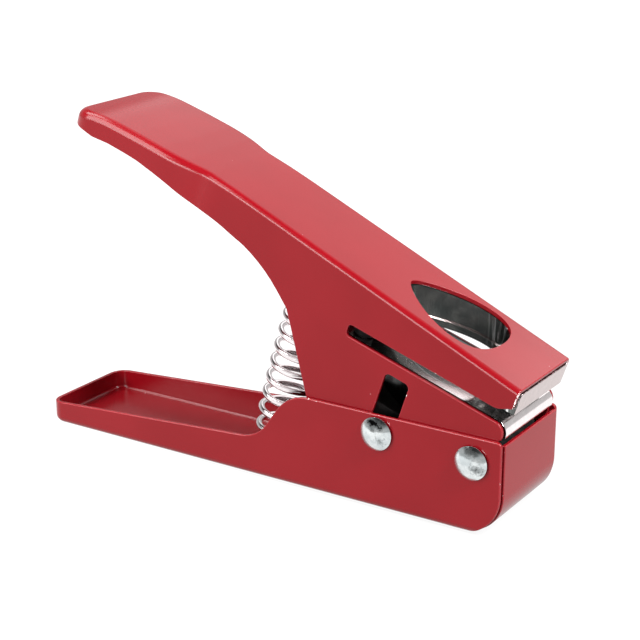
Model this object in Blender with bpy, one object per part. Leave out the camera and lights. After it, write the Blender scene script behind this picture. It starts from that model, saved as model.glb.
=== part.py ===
"""Guitar pick punch: a sheet steel base, a long handle that carries the dies, and a punch
that a fixed cross rivet drives up through them.

The origin lies on the underside of the base, half way along it, under the return spring.
+X points to the jaw, +Y to the far side in the photograph, +Z up. The handle and the punch are
drawn in the jaw's frame: its zero is the pivot rivet, x runs forward along the card slit, and
z runs square to the slit, the way the punch slides.
"""

import math

import bmesh
import bpy
import numpy as np
from mathutils import Vector

MM = 0.001

# Driving sizes: base
BASE_LENGTH = 165.0 * MM
BASE_WIDTH = 35.8 * MM
SHEET = 1.2 * MM
FIT = 0.3 * MM
WALL_HEIGHT = 29.2 * MM
TRAY_RIM_REAR = 7.1 * MM
TRAY_RIM_FRONT = 12.3 * MM
TRAY_LENGTH = 77.1 * MM
BASE_BEND = 2.2 * MM
TRAY_CORNER = 5.0 * MM
SWEEP_ANGLE = math.radians(55.0)
SWEEP_LOWER_RADIUS = 12.0 * MM
SWEEP_UPPER_RADIUS = 14.0 * MM
WALL_CORNER = 1.5 * MM
FLAP_CURL = 12.5 * MM
FLAP_PROUD = 0.5 * MM
FLAP_GAP = 0.4 * MM
FLAP_HEIGHT = 28.1 * MM

# Driving sizes: jaw and handle, in the jaw's frame
PIVOT_FROM_FRONT = 9.3 * MM
PIVOT_HEIGHT = 21.8 * MM
REST_TILT = math.radians(18.5)
JAW_REACH = 4.95 * MM
JAW_TOP = 25.95 * MM
TOP_RISE = math.radians(6.3)
TOP_LENGTH = 121.4 * MM
CREST_RADIUS = 376.0 * MM
GRIP_DROP = math.radians(1.5)
GRIP_LENGTH = 32.75 * MM
TAIL_RADIUS = 55.0 * MM
TAIL_DROP = math.radians(12.8)
HANDLE_LENGTH = 163.5 * MM
HANDLE_BEND = 2.5 * MM
GRIP_WIDTH = 38.4 * MM
GRIP_CORNER = 7.0 * MM
FLARE_LENGTH = 16.0 * MM
GRIP_STRAIGHT = 34.55 * MM

# Lower edge of the handle's side walls
SKIRT_LEVEL = 31.4 * MM
SKIRT_BEHIND_PIVOT = 127.5 * MM
SKIRT_RADIUS = 43.7 * MM
BELLY_ANGLE = math.radians(12.8)
BELLY_LENGTH = 46.0 * MM
BELLY_RADIUS = 46.6 * MM
THROAT_ANGLE = math.radians(37.2)
THROAT_LENGTH = 16.0 * MM
THROAT_RADIUS = 4.0 * MM
REAR_EDGE_ANGLE = math.radians(57.0)
WALL_FOOT = 15.5 * MM
FOOT_RADIUS = 3.0 * MM
FOOT_FRONT = 19.0 * MM
KNUCKLE_RADIUS = 7.1 * MM
NOSE_REACH = 4.95 * MM
NOSE_RADIUS = 3.6 * MM
NOSE_CLEARANCE = 1.2 * MM

# Card slit and the two plates that it lies between
SLIT_LEVEL = 14.1 * MM
SLIT_GAP = 3.65 * MM
SLIT_DEPTH = 54.3 * MM
SLIT_END_RADIUS = 1.2 * MM
LEAD_IN_LENGTH = 4.6 * MM
LEAD_IN_ANGLE = math.radians(28.0)
LEAD_IN_RADIUS = 5.0 * MM
PLATE_REACH = 5.45 * MM
PLATE_THICKNESS = 4.0 * MM
PLATE_NOSE = 3.6 * MM
PLATE_PAST_SLIT = 2.65 * MM
DIE_REACH = 5.35 * MM
DIE_EDGE = 1.0 * MM
DIE_LIFT = 0.1 * MM

# Pick
PICK_LENGTH = 31.6 * MM
PICK_WIDTH = 24.8 * MM
PICK_FROM_JAW_FRONT = 15.2 * MM
PICK_WIDEST = 9.9 * MM
PICK_TIP_SHARE = 0.26
PICK_SIDE_SHARE = 0.45
PICK_SHOULDER_SHARE = 0.66
PICK_END_SHARE = 0.68
WINDOW_MARGIN = 0.3 * MM

# Rivets and their sleeves
HEAD_RADIUS = 5.05 * MM
HEAD_HEIGHT = 2.6 * MM
HEAD_RIM = 0.5 * MM
TAIL_HEAD_RADIUS = 4.2 * MM
TAIL_HEAD_HEIGHT = 1.8 * MM
PIVOT_SHANK_RADIUS = 2.4 * MM
PIVOT_SLEEVE_RADIUS = 3.6 * MM
DRIVE_SHANK_RADIUS = 2.0 * MM
DRIVE_SLEEVE_RADIUS = 2.8 * MM
DRIVE_BEHIND_PIVOT = 30.6 * MM
DRIVE_ABOVE_PIVOT = 1.87 * MM
SLOT_REAR = 33.8 * MM
SLOT_FRONT = 25.7 * MM
SLOT_TOP = 9.95 * MM
SLOT_CORNER = 1.5 * MM

# Punch, in two pieces
BLADE_HEIGHT = 14.5 * MM
BLADE_RECESS = 0.2 * MM
CARRIER_LENGTH = 24.0 * MM
CARRIER_WIDTH = 28.6 * MM
CARRIER_FLOOR = 2.6 * MM
CARRIER_EDGE = 1.0 * MM
CARRIER_SCREW_SPACING = 16.6 * MM

# Screws and spacers of the die set
SCREW_RADIUS = 1.5 * MM
SCREW_HEAD_RADIUS = 2.75 * MM
SCREW_HEAD_HEIGHT = 1.8 * MM
SCREW_BITE = 8.0 * MM
SPACER_RADIUS = 3.0 * MM
SPACER_FROM_END = 2.8 * MM
SPACER_SPREAD = 10.6 * MM

# Return spring and its seats
WIRE = 2.0 * MM
SPRING_RADIUS = 9.6 * MM
SPRING_PITCH = 5.4 * MM
END_PITCH = 4.0 * MM
POINTS_A_CURL = 9
SPRING_FOOT_PULL = 3.1 * MM
SPRING_HEAD_PULL = 53.5 * MM
SPRING_BEHIND_PLATES = 15.5 * MM
FOOT_BEHIND_HEAD = 5.7 * MM
SPRING_START = math.radians(271.6)
SPRING_LEG_BEND = 2.0 * MM
CUP_SHEET = 1.0 * MM
CUP_FLANGE_RADIUS = 11.5 * MM
PILOT_RADIUS = 7.6 * MM
PILOT_HEIGHT = 3.4 * MM
BRACKET_LEVEL = 18.0 * MM
BRACKET_LENGTH = 21.0 * MM
BRACKET_FLANGE = 6.0 * MM
BRACKET_SHEET = 1.5 * MM

# How finely round stretches are cut, and how far a cutter runs past what it cuts
ARC_STEP = math.radians(10.0)
LEAST_ARC_STEPS = 4
ROUND_SIDES = 32
BEND_STEPS = 4
CORNER_STEPS = 5
DOME_STEPS = 5
PICK_STEPS = 11
FLARE_STEPS = 7
AXIS_STEPS = 400
SMOOTH_ANGLE = math.radians(40.0)
OVERRUN = 5.0 * MM

# Places worked out from the driving sizes
PIVOT = Vector((BASE_LENGTH / 2 - PIVOT_FROM_FRONT, 0, PIVOT_HEIGHT))
HANDLE_WIDTH = BASE_WIDTH - 2 * (SHEET + FIT)
CHANNEL_HALF = HANDLE_WIDTH / 2 - SHEET
SLIT_TOP = SLIT_LEVEL + SLIT_GAP
PLATE_HALF = CHANNEL_HALF - FIT
PICK_FRONT = JAW_REACH - PICK_FROM_JAW_FRONT
SPACER_X = JAW_REACH - SLIT_DEPTH + SPACER_FROM_END
HANDLE_REAR = JAW_REACH - HANDLE_LENGTH
FLARE_END = HANDLE_REAR + GRIP_STRAIGHT
PLATE_REAR = SLIT_DEPTH - JAW_REACH + PLATE_PAST_SLIT
SPRING_BEHIND_PIVOT = PLATE_REAR + SPRING_BEHIND_PLATES
CUP = Vector((PIVOT.x - SPRING_BEHIND_PIVOT - FOOT_BEHIND_HEAD, 0, SHEET + FIT))


def jaw_point(dx, dz):
    """A place given from the pivot in world directions, in the jaw's frame at rest."""
    return (
        dx * math.cos(REST_TILT) - dz * math.sin(REST_TILT),
        dx * math.sin(REST_TILT) + dz * math.cos(REST_TILT),
    )


DRIVE_REST = jaw_point(-DRIVE_BEHIND_PIVOT, DRIVE_ABOVE_PIVOT)
DRIVE_PRESSED = (-DRIVE_BEHIND_PIVOT, DRIVE_ABOVE_PIVOT)
DRIVE_MIDDLE = (DRIVE_REST[0] + DRIVE_PRESSED[0]) / 2
DRIVE_DRIFT = abs(DRIVE_REST[0] - DRIVE_PRESSED[0])
DRIVE = PIVOT + Vector((-DRIVE_BEHIND_PIVOT, 0, DRIVE_ABOVE_PIVOT))
BLADE_FOOT = SLIT_LEVEL - BLADE_RECESS - BLADE_HEIGHT
CARRIER_FOOT = DRIVE_REST[1] - DRIVE_SLEEVE_RADIUS - FIT - CARRIER_FLOOR


# Outlines


def rounded(corners):
    """An outline through (x, z, radius) corners, with an arc at each corner that has a radius."""
    points = []
    for i, (x, z, radius) in enumerate(corners):
        if not radius:
            points.append((x, z))
            continue
        here = Vector((x, z))
        before = (Vector(corners[i - 1][:2]) - here).normalized()
        after = (Vector(corners[(i + 1) % len(corners)][:2]) - here).normalized()
        half = before.angle(after) / 2
        centre = here + (before + after).normalized() * (radius / math.sin(half))
        start = here + before * (radius / math.tan(half)) - centre
        end = here + after * (radius / math.tan(half)) - centre
        turn = math.atan2(start.x * end.y - start.y * end.x, start.dot(end))
        steps = max(LEAST_ARC_STEPS, round(abs(turn) / ARC_STEP))
        first = math.atan2(start.y, start.x)
        for k in range(steps + 1):
            a = first + turn * k / steps
            points.append((centre.x + radius * math.cos(a), centre.y + radius * math.sin(a)))
    return points


def legs(start, moves):
    """The corners reached from start by straight legs of (length, angle), angle 0 along +x."""
    x, z = start
    found = [(x, z)]
    for length, angle in moves:
        x += length * math.cos(angle)
        z += length * math.sin(angle)
        found.append((x, z))
    return found


def arc(centre, radius, first, last):
    """Points round a centre from the first angle to the last."""
    steps = max(LEAST_ARC_STEPS, round(abs(last - first) / ARC_STEP))
    return [
        (centre[0] + radius * math.cos(a), centre[1] + radius * math.sin(a))
        for a in np.linspace(first, last, steps + 1)
    ]


def bezier(p0, p1, p2, p3, steps):
    """Points along a cubic curve, without its last."""
    p0, p1, p2, p3 = (np.array(p) for p in (p0, p1, p2, p3))
    t = np.linspace(0, 1, steps, endpoint=False)[:, None]
    curve = (1 - t) ** 3 * p0 + 3 * (1 - t) ** 2 * t * p1 + 3 * (1 - t) * t**2 * p2 + t**3 * p3
    return [tuple(p) for p in curve]


def grown(outline, margin):
    """The closed outline moved outwards by margin. It runs anticlockwise."""
    moved = []
    for i, p in enumerate(outline):
        ahead = Vector(outline[(i + 1) % len(outline)]) - Vector(outline[i - 1])
        ahead.normalize()
        moved.append((p[0] + ahead.y * margin, p[1] - ahead.x * margin))
    return moved


def pick_outline(margin):
    """The pick seen from above: its tip points back along the jaw and its round end forward."""
    half = PICK_WIDTH / 2
    tip = PICK_FRONT - PICK_LENGTH
    widest = PICK_FRONT - PICK_WIDEST
    side = widest - tip
    near = bezier(
        (tip, 0),
        (tip, -half * PICK_TIP_SHARE),
        (widest - side * PICK_SIDE_SHARE, -half),
        (widest, -half),
        PICK_STEPS,
    )
    near += bezier(
        (widest, -half),
        (widest + PICK_WIDEST * PICK_SHOULDER_SHARE, -half),
        (PICK_FRONT, -half * PICK_END_SHARE),
        (PICK_FRONT, 0),
        PICK_STEPS,
    )
    far = [(x, -y) for x, y in near[:0:-1]]
    return grown(near + [(PICK_FRONT, 0)] + far, margin)


def box_outline(x_low, x_high, z_low, z_high, radius=0):
    """A rectangle with round corners."""
    return rounded(
        [
            (x_low, z_low, radius),
            (x_high, z_low, radius),
            (x_high, z_high, radius),
            (x_low, z_high, radius),
        ]
    )


# Solids


def add(name, mesh_data, parent=None):
    """An object that holds this bmesh, shaded smooth where its faces meet gently."""
    bmesh.ops.recalc_face_normals(mesh_data, faces=mesh_data.faces)
    mesh = bpy.data.meshes.new(name)
    mesh_data.to_mesh(mesh)
    mesh_data.free()
    mesh.shade_smooth()
    mesh.set_sharp_from_angle(angle=SMOOTH_ANGLE)
    obj = bpy.data.objects.new(name, mesh)
    bpy.context.scene.collection.objects.link(obj)
    obj.parent = parent
    return obj


def prism(outline, low, high, across):
    """A closed solid: the outline drawn from low to high along the axis that across names."""
    place = {
        "x": lambda p, level: (level, p[0], p[1]),
        "y": lambda p, level: (p[0], level, p[1]),
        "z": lambda p, level: (p[0], p[1], level),
    }[across]
    mesh_data = bmesh.new()
    ends = []
    for level in (low, high):
        ends.append([mesh_data.verts.new(place(p, level)) for p in outline])
        mesh_data.faces.new(ends[-1])
    for i in range(len(outline)):
        mesh_data.faces.new((ends[0][i - 1], ends[0][i], ends[1][i], ends[1][i - 1]))
    return mesh_data


def turned(profile, axis, centre):
    """A solid of revolution: (radius, height) points round the axis, which runs through centre."""
    mesh_data = bmesh.new()
    rings = []
    for radius, height in profile:
        ring = []
        for k in range(ROUND_SIDES if radius else 1):
            a = 2 * math.pi * k / ROUND_SIDES
            x, y = radius * math.cos(a), radius * math.sin(a)
            offset = {"y": (x, height, y), "z": (x, y, height)}[axis]
            ring.append(mesh_data.verts.new(Vector(centre) + Vector(offset)))
        rings.append(ring)
    pairs = list(zip(rings, rings[1:]))
    if profile[0][0]:
        pairs.append((rings[-1], rings[0]))
    for a, b in pairs:
        for k in range(ROUND_SIDES):
            n = (k + 1) % ROUND_SIDES
            corners = [a[k % len(a)], a[n % len(a)], b[n % len(b)], b[k % len(b)]]
            mesh_data.faces.new(list(dict.fromkeys(corners)))
    return mesh_data


def cylinder(radius, low, high):
    """The profile of a plain cylinder."""
    return [(0, low), (radius, low), (radius, high), (0, high)]


def tube(inner, outer, low, high):
    """The profile of a plain tube."""
    return [(inner, low), (outer, low), (outer, high), (inner, high)]


def cap(radius, height):
    """The profile of a round cap over its rim, from near the crown outwards."""
    ball = (radius**2 + height**2) / (2 * height)
    widest = math.asin(radius / ball)
    angles = [widest * k / DOME_STEPS for k in range(1, DOME_STEPS + 1)]
    return [(ball * math.sin(a), ball * math.cos(a) - ball + height) for a in angles]


def cut(obj, tool_data, operation="DIFFERENCE"):
    """Takes the tool's shape out of the object, or adds it."""
    tool = add(obj.name + "_tool", tool_data, obj.parent)
    tool.hide_render = True
    tool.display_type = "WIRE"
    modifier = obj.modifiers.new(operation.title(), "BOOLEAN")
    modifier.operation = operation
    modifier.solver = "EXACT"
    modifier.object = tool


def channel(path, skin, reach, bend):
    """A sheet channel: a skin, with walls turned off it along a path and its mirror image.

    path holds (x, y, normal x, normal y) in plan, from the open end to the closed end. skin gives
    the height of the skin's outer face at x, and reach is the height where the walls end."""
    mesh_data = bmesh.new()
    up = 1 if reach < skin(path[0][0]) else -1
    shells = []
    for radius in (bend, bend - SHEET):
        sides = []
        for mirror in (1, -1):
            rows = []
            for x, y, nx, ny in path:
                row = []
                for k in range(BEND_STEPS + 1):
                    a = math.pi / 2 * k / BEND_STEPS
                    inset = bend - radius * math.sin(a)
                    px = x - nx * inset
                    z = skin(px) - up * (bend - radius * math.cos(a))
                    row.append(mesh_data.verts.new((px, (y - ny * inset) * mirror, z)))
                foot = row[-1].co
                row.append(mesh_data.verts.new((foot.x, foot.y, reach)))
                rows.append(row)
            sides.append(rows)
        shells.append(sides)
    face = mesh_data.faces.new
    for near, far in shells:
        for rows in (near, far):
            for a, b in zip(rows, rows[1:]):
                for k in range(len(a) - 1):
                    face((a[k], a[k + 1], b[k + 1], b[k]))
        for k in range(len(near[-1]) - 1):
            face((near[-1][k], near[-1][k + 1], far[-1][k + 1], far[-1][k]))
        for i in range(len(near) - 1):
            face((near[i][0], near[i + 1][0], far[i + 1][0], far[i][0]))
    for outer, inner in zip(*shells):
        for i in range(len(outer) - 1):
            face((outer[i][-1], outer[i + 1][-1], inner[i + 1][-1], inner[i][-1]))
        for k in range(len(outer[0]) - 1):
            face((outer[0][k], outer[0][k + 1], inner[0][k + 1], inner[0][k]))
    (outer_near, outer_far), (inner_near, inner_far) = shells
    for i, k in ((-1, -1), (0, 0)):
        face((outer_near[i][k], outer_far[i][k], inner_far[i][k], inner_near[i][k]))
    return mesh_data


def rear_corner(x_end, half, radius):
    """The plan of a channel's rounded rear corner on the near side."""
    found = []
    for k in range(CORNER_STEPS + 1):
        a = math.pi / 2 * k / CORNER_STEPS
        nx, ny = -math.sin(a), -math.cos(a)
        found.append((x_end + radius * (1 + nx), -half + radius * (1 + ny), nx, ny))
    return found


# Base


def base_tray():
    """One pressed sheet: tray, tall side walls, and a front flap curled up between them."""
    rear = -BASE_LENGTH / 2
    front = BASE_LENGTH / 2
    half = BASE_WIDTH / 2
    wall_front = front - FLAP_PROUD
    curl = front - FLAP_CURL
    path = [(wall_front, -half, 0, -1), (curl, -half, 0, -1), (rear + TRAY_LENGTH, -half, 0, -1)]
    path += rear_corner(rear, half, TRAY_CORNER)
    tray = add("base_tray", channel(path, lambda x: 0, WALL_HEIGHT + OVERRUN, BASE_BEND))

    slope = math.atan2(TRAY_RIM_FRONT - TRAY_RIM_REAR, TRAY_LENGTH)
    low = SWEEP_LOWER_RADIUS * math.tan((SWEEP_ANGLE - slope) / 2)
    foot_x = rear + TRAY_LENGTH + low
    foot_z = TRAY_RIM_FRONT + low * math.tan(slope)
    above = WALL_HEIGHT + 2 * OVERRUN
    over_rim = rounded(
        [
            (rear - OVERRUN, TRAY_RIM_REAR - OVERRUN * math.tan(slope), 0),
            (foot_x, foot_z, SWEEP_LOWER_RADIUS),
            (foot_x + (WALL_HEIGHT - foot_z) / math.tan(SWEEP_ANGLE), WALL_HEIGHT, SWEEP_UPPER_RADIUS),
            (wall_front, WALL_HEIGHT, WALL_CORNER),
            (wall_front, 0, 0),
            (front + OVERRUN, 0, 0),
            (front + OVERRUN, above, 0),
            (rear - OVERRUN, above, 0),
        ]
    )
    cut(tray, prism(over_rim, -half - OVERRUN, half + OVERRUN, "y"))
    under_curl = arc((wall_front - FLAP_CURL, FLAP_CURL), FLAP_CURL, 0, -math.pi / 2)
    under_curl += [(wall_front - FLAP_CURL, -OVERRUN), (front + OVERRUN, -OVERRUN)]
    under_curl += [(front + OVERRUN, FLAP_CURL)]
    cut(tray, prism(under_curl, -half - OVERRUN, half + OVERRUN, "y"))

    flap_half = half - SHEET - FLAP_GAP
    strip = [(curl - OVERRUN, 0)]
    strip += arc((curl, FLAP_CURL), FLAP_CURL, -math.pi / 2, 0)
    strip += [(front, FLAP_HEIGHT), (front - SHEET, FLAP_HEIGHT)]
    strip += arc((curl, FLAP_CURL), FLAP_CURL - SHEET, 0, -math.pi / 2)
    strip += [(curl - OVERRUN, SHEET)]
    cut(tray, prism(strip, -flap_half, flap_half, "y"), "UNION")

    for centre, shank in ((PIVOT, PIVOT_SHANK_RADIUS), (DRIVE, DRIVE_SHANK_RADIUS)):
        bore = cylinder(shank + FIT, -half - OVERRUN, half + OVERRUN)
        cut(tray, turned(bore, "y", centre))
    return tray


def rivet(name, centre, shank):
    """A round-head rivet right across the base, its tail formed over on the far side."""
    seat = BASE_WIDTH / 2 + FIT
    head = cap(HEAD_RADIUS, HEAD_HEIGHT - HEAD_RIM)
    tail = cap(TAIL_HEAD_RADIUS, TAIL_HEAD_HEIGHT - HEAD_RIM)
    profile = [(0, -seat - HEAD_HEIGHT)]
    profile += [(radius, -seat - HEAD_RIM - height) for radius, height in head]
    profile += [(HEAD_RADIUS, -seat), (shank, -seat), (shank, seat), (TAIL_HEAD_RADIUS, seat)]
    profile += [(radius, seat + HEAD_RIM + height) for radius, height in reversed(tail)]
    profile += [(0, seat + TAIL_HEAD_HEIGHT)]
    return add(name, turned(profile, "y", centre))


def sleeve(name, centre, shank, outer):
    """The tube round a rivet that keeps the base's walls apart."""
    half = BASE_WIDTH / 2 - SHEET - FIT
    return add(name, turned(tube(shank + FIT, outer, -half, half), "y", centre))


def lower_spring_cup():
    """The pressed cup on the floor whose raised middle centres the foot of the spring."""
    inner = PILOT_RADIUS - CUP_SHEET
    profile = [
        (0, PILOT_HEIGHT),
        (inner, PILOT_HEIGHT),
        (PILOT_RADIUS, PILOT_HEIGHT - CUP_SHEET),
        (PILOT_RADIUS, CUP_SHEET),
        (CUP_FLANGE_RADIUS, CUP_SHEET),
        (CUP_FLANGE_RADIUS, 0),
        (inner, 0),
        (inner, PILOT_HEIGHT - CUP_SHEET),
        (0, PILOT_HEIGHT - CUP_SHEET),
    ]
    return add("lower_spring_cup", turned(profile, "z", CUP))


# Spring


def spring_axis():
    """Points along the middle of the spring, from the cup's flange to the bracket's underside."""
    foot = np.array((CUP.x, CUP.z + CUP_SHEET + FIT))
    along = np.array((math.sin(REST_TILT), math.cos(REST_TILT)))
    forward = np.array((math.cos(REST_TILT), -math.sin(REST_TILT)))
    pivot = np.array((PIVOT.x, PIVOT.z))
    head = pivot - forward * SPRING_BEHIND_PIVOT + along * (BRACKET_LEVEL - FIT)
    foot_pull = foot + np.array((0, SPRING_FOOT_PULL))
    line = bezier(foot, foot_pull, head - along * SPRING_HEAD_PULL, head, AXIS_STEPS)
    return np.array(line + [tuple(head)])


def return_spring():
    """A compression spring whose axis bends with the tilt, with a short leg square to each seat."""
    line = spring_axis()
    steps = np.diff(line, axis=0)
    at = np.concatenate([[0], np.cumsum(np.hypot(*steps.T))])
    total = at[-1]
    leg = WIRE + SPRING_LEG_BEND

    # The wire unrolled: how far round the coil it lies, and how high along the axis.
    bend = [math.pi / 2 * k / BEND_STEPS for k in range(BEND_STEPS + 1)]
    rise = [(0, 0)]
    rise += [
        (SPRING_LEG_BEND * (1 - math.cos(a)), WIRE + SPRING_LEG_BEND * math.sin(a)) for a in bend
    ]
    heights = np.linspace(leg, total - leg, AXIS_STEPS)
    ease = np.clip(np.minimum(heights - leg, total - leg - heights) / SPRING_PITCH, 0, 1)
    pitch = END_PITCH + (SPRING_PITCH - END_PITCH) * ease * ease * (3 - 2 * ease)
    round_by = np.concatenate([[0], np.cumsum(np.diff(heights) / pitch[1:])])
    count = round(round_by[-1] * POINTS_A_CURL)
    turns = np.linspace(0, round_by[-1], count + 1)[1:-1]
    girth = 2 * math.pi * SPRING_RADIUS
    wire = rise + [
        (SPRING_LEG_BEND + t * girth, h) for t, h in zip(turns, np.interp(turns, round_by, heights))
    ]
    end = 2 * SPRING_LEG_BEND + round_by[-1] * girth
    wire += [(end - c, total - h) for c, h in reversed(rise)]

    points = []
    for around, height in wire:
        centre = [np.interp(height, at, line[:, i]) for i in (0, 1)]
        near = [np.interp(height + side * WIRE, at, line[:, i]) for side in (-1, 1) for i in (0, 1)]
        lean = math.atan2(near[2] - near[0], near[3] - near[1])
        angle = SPRING_START + around / SPRING_RADIUS
        out = SPRING_RADIUS * math.cos(angle)
        across = SPRING_RADIUS * math.sin(angle)
        points.append(
            (centre[0] + out * math.cos(lean), across, centre[1] - out * math.sin(lean))
        )

    places = np.array(points)
    gaps = np.linalg.norm(places[:, None] - places[None], axis=2)
    apart = np.abs(np.subtract.outer(range(len(places)), range(len(places)))) > POINTS_A_CURL / 2
    print(f"Spring: least gap to itself {(gaps[apart].min() - WIRE) / MM:.2f} mm")

    curve = bpy.data.curves.new("return_spring", "CURVE")
    curve.dimensions = "3D"
    curve.bevel_depth = WIRE / 2
    curve.bevel_resolution = 1
    curve.use_fill_caps = True
    spline = curve.splines.new("POLY")
    spline.points.add(len(points) - 1)
    for point, place in zip(spline.points, points):
        point.co = (*place, 1)
    obj = bpy.data.objects.new("return_spring", curve)
    bpy.context.scene.collection.objects.link(obj)
    return obj


# Handle


def handle_top():
    """The handle's top edge seen from the side, from the front back."""
    start = (JAW_REACH + OVERRUN, JAW_TOP - OVERRUN * math.tan(TOP_RISE))
    corners = legs(
        start,
        [
            (TOP_LENGTH + OVERRUN / math.cos(TOP_RISE), math.pi - TOP_RISE),
            (GRIP_LENGTH, math.pi + GRIP_DROP),
            (GRIP_LENGTH, math.pi + TAIL_DROP),
        ],
    )
    return rounded([(*p, r) for p, r in zip(corners, (0, CREST_RADIUS, TAIL_RADIUS, 0))])


def top_height(x):
    """The height of the handle's top at x."""
    points = handle_top()[::-1]
    return float(np.interp(x, [p[0] for p in points], [p[1] for p in points]))


def handle_plan():
    """The handle's near edge in plan, from the front back, with its flare out to the grip."""
    widen = (GRIP_WIDTH - HANDLE_WIDTH) / 2
    start = HANDLE_REAR + GRIP_CORNER
    places = [x for x, z in handle_top() if start < x < JAW_REACH + OVERRUN]
    places += list(np.linspace(FLARE_END + FLARE_LENGTH, FLARE_END, FLARE_STEPS))
    found = [(JAW_REACH + OVERRUN, -HANDLE_WIDTH / 2, 0, -1)]
    for x in sorted(places, reverse=True):
        t = min(max((FLARE_END + FLARE_LENGTH - x) / FLARE_LENGTH, 0), 1)
        slope = widen * 2 * (1 - t) / FLARE_LENGTH if t > 0 else 0
        long = math.hypot(1, slope)
        y = -HANDLE_WIDTH / 2 - widen * t * (2 - t)
        found.append((x, y, slope / long, -1 / long))
    return found + rear_corner(HANDLE_REAR, GRIP_WIDTH / 2, GRIP_CORNER)


def under_handle():
    """What lies under the side walls' lower edge, round the knuckle and under the jaw's nose."""
    corners = legs(
        (-SKIRT_BEHIND_PIVOT, SKIRT_LEVEL),
        [(BELLY_LENGTH, -BELLY_ANGLE), (THROAT_LENGTH, -THROAT_ANGLE)],
    )
    throat = corners[-1]
    run = (throat[1] + WALL_FOOT) / math.tan(REAR_EDGE_ANGLE)
    radii = (SKIRT_RADIUS, BELLY_RADIUS, THROAT_RADIUS)
    behind = HANDLE_REAR - SKIRT_RADIUS * math.tan(BELLY_ANGLE / 2)
    nose = FLAP_HEIGHT - PIVOT_HEIGHT + NOSE_CLEARANCE
    low = -WALL_FOOT - 2 * OVERRUN
    far_front = jaw_point(KNUCKLE_RADIUS + 4 * OVERRUN, nose)
    outline = [(behind, SKIRT_LEVEL, 0)]
    outline += [(*p, r) for p, r in zip(corners, radii)]
    outline += [(throat[0] + run, -WALL_FOOT, FOOT_RADIUS), (-FOOT_FRONT, -WALL_FOOT, 0)]
    knuckle = arc((0, 0), KNUCKLE_RADIUS, -math.pi / 2 - REST_TILT, REST_TILT)
    outline += [(x, z, 0) for x, z in knuckle]
    outline += [(*jaw_point(KNUCKLE_RADIUS, nose), 0), (*far_front, 0)]
    outline += [(far_front[0], low, 0), (behind, low, 0)]
    return rounded(outline)


def card_slit():
    """The slit with its lead-in, and what lies in front of the two jaws."""
    rear = JAW_REACH - SLIT_DEPTH
    ahead = JAW_REACH + 3 * OVERRUN
    lip = SLIT_TOP + LEAD_IN_LENGTH * math.tan(LEAD_IN_ANGLE)
    return rounded(
        [
            (rear, SLIT_LEVEL, SLIT_END_RADIUS),
            (NOSE_REACH, SLIT_LEVEL, NOSE_RADIUS),
            (NOSE_REACH, 0, 0),
            (ahead, 0, 0),
            (ahead, JAW_TOP + 2 * OVERRUN, 0),
            (JAW_REACH, JAW_TOP + 2 * OVERRUN, 0),
            (JAW_REACH, lip, 0),
            (JAW_REACH - LEAD_IN_LENGTH, SLIT_TOP, LEAD_IN_RADIUS),
            (rear, SLIT_TOP, SLIT_END_RADIUS),
        ]
    )


def handle_lever(jaw):
    """One folded sheet: grip, top and side walls, with the slit, slots and window cut in it."""
    reach = -WALL_FOOT - OVERRUN
    sheet = channel(handle_plan(), top_height, reach, HANDLE_BEND)
    handle = add("handle_lever", sheet, jaw)
    side = GRIP_WIDTH / 2 + OVERRUN
    cut(handle, prism(under_handle(), -side, side, "y"))
    cut(handle, prism(card_slit(), -side, side, "y"))
    slot = box_outline(
        -SLOT_REAR,
        -SLOT_FRONT,
        DRIVE_REST[1] - DRIVE_SLEEVE_RADIUS - FIT,
        SLOT_TOP,
        SLOT_CORNER,
    )
    cut(handle, prism(slot, -side, side, "y"))
    cut(handle, turned(cylinder(PIVOT_SLEEVE_RADIUS + FIT, -side, side), "y", (0, 0, 0)))
    window = pick_outline(WINDOW_MARGIN)
    cut(handle, prism(window, SLIT_TOP, JAW_TOP + 2 * OVERRUN, "z"))
    return handle


def screw_places():
    """Where the two screws of the die set stand, behind the pick's tip."""
    return (("near", (SPACER_X, -SPACER_SPREAD, 0)), ("far", (SPACER_X, SPACER_SPREAD, 0)))


def upper_die(jaw):
    """The wedge-shaped die, flat below and following the handle's top above."""
    low = SLIT_TOP + DIE_LIFT
    under_skin = SHEET / math.cos(TOP_RISE) + FIT
    outline = [
        (-PLATE_REAR, low),
        (DIE_REACH, low),
        (DIE_REACH, top_height(DIE_REACH) - under_skin),
        (-PLATE_REAR, top_height(-PLATE_REAR) - under_skin),
    ]
    body = prism(outline, -PLATE_HALF, PLATE_HALF, "y")
    ridges = [
        edge
        for edge in body.edges
        if all(v.co.z > low + DIE_EDGE for v in edge.verts)
        and edge.verts[0].co.y == edge.verts[1].co.y
    ]
    bmesh.ops.bevel(body, geom=ridges, offset=DIE_EDGE, segments=1, affect="EDGES")
    die = add("upper_die", body, jaw)
    cut(die, prism(pick_outline(0), low - OVERRUN, JAW_TOP + 2 * OVERRUN, "z"))
    for _, place in screw_places():
        bore = cylinder(SCREW_RADIUS + FIT, low - OVERRUN, low + SCREW_BITE + FIT)
        cut(die, turned(bore, "z", place))
    return die


def guide_plate(jaw):
    """The plate under the slit that the punch slides through, with a rounded nose."""
    low = SLIT_LEVEL - PLATE_THICKNESS
    outline = rounded(
        [
            (-PLATE_REAR, low, 0),
            (PLATE_REACH, low, 0),
            (PLATE_REACH, SLIT_LEVEL, PLATE_NOSE),
            (-PLATE_REAR, SLIT_LEVEL, 0),
        ]
    )
    plate = add("guide_plate", prism(outline, -PLATE_HALF, PLATE_HALF, "y"), jaw)
    cut(plate, prism(pick_outline(0), low - OVERRUN, SLIT_LEVEL + OVERRUN, "z"))
    for _, place in screw_places():
        bore = cylinder(SCREW_RADIUS + FIT, low - OVERRUN, SLIT_LEVEL + OVERRUN)
        cut(plate, turned(bore, "z", place))
    return plate


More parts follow.
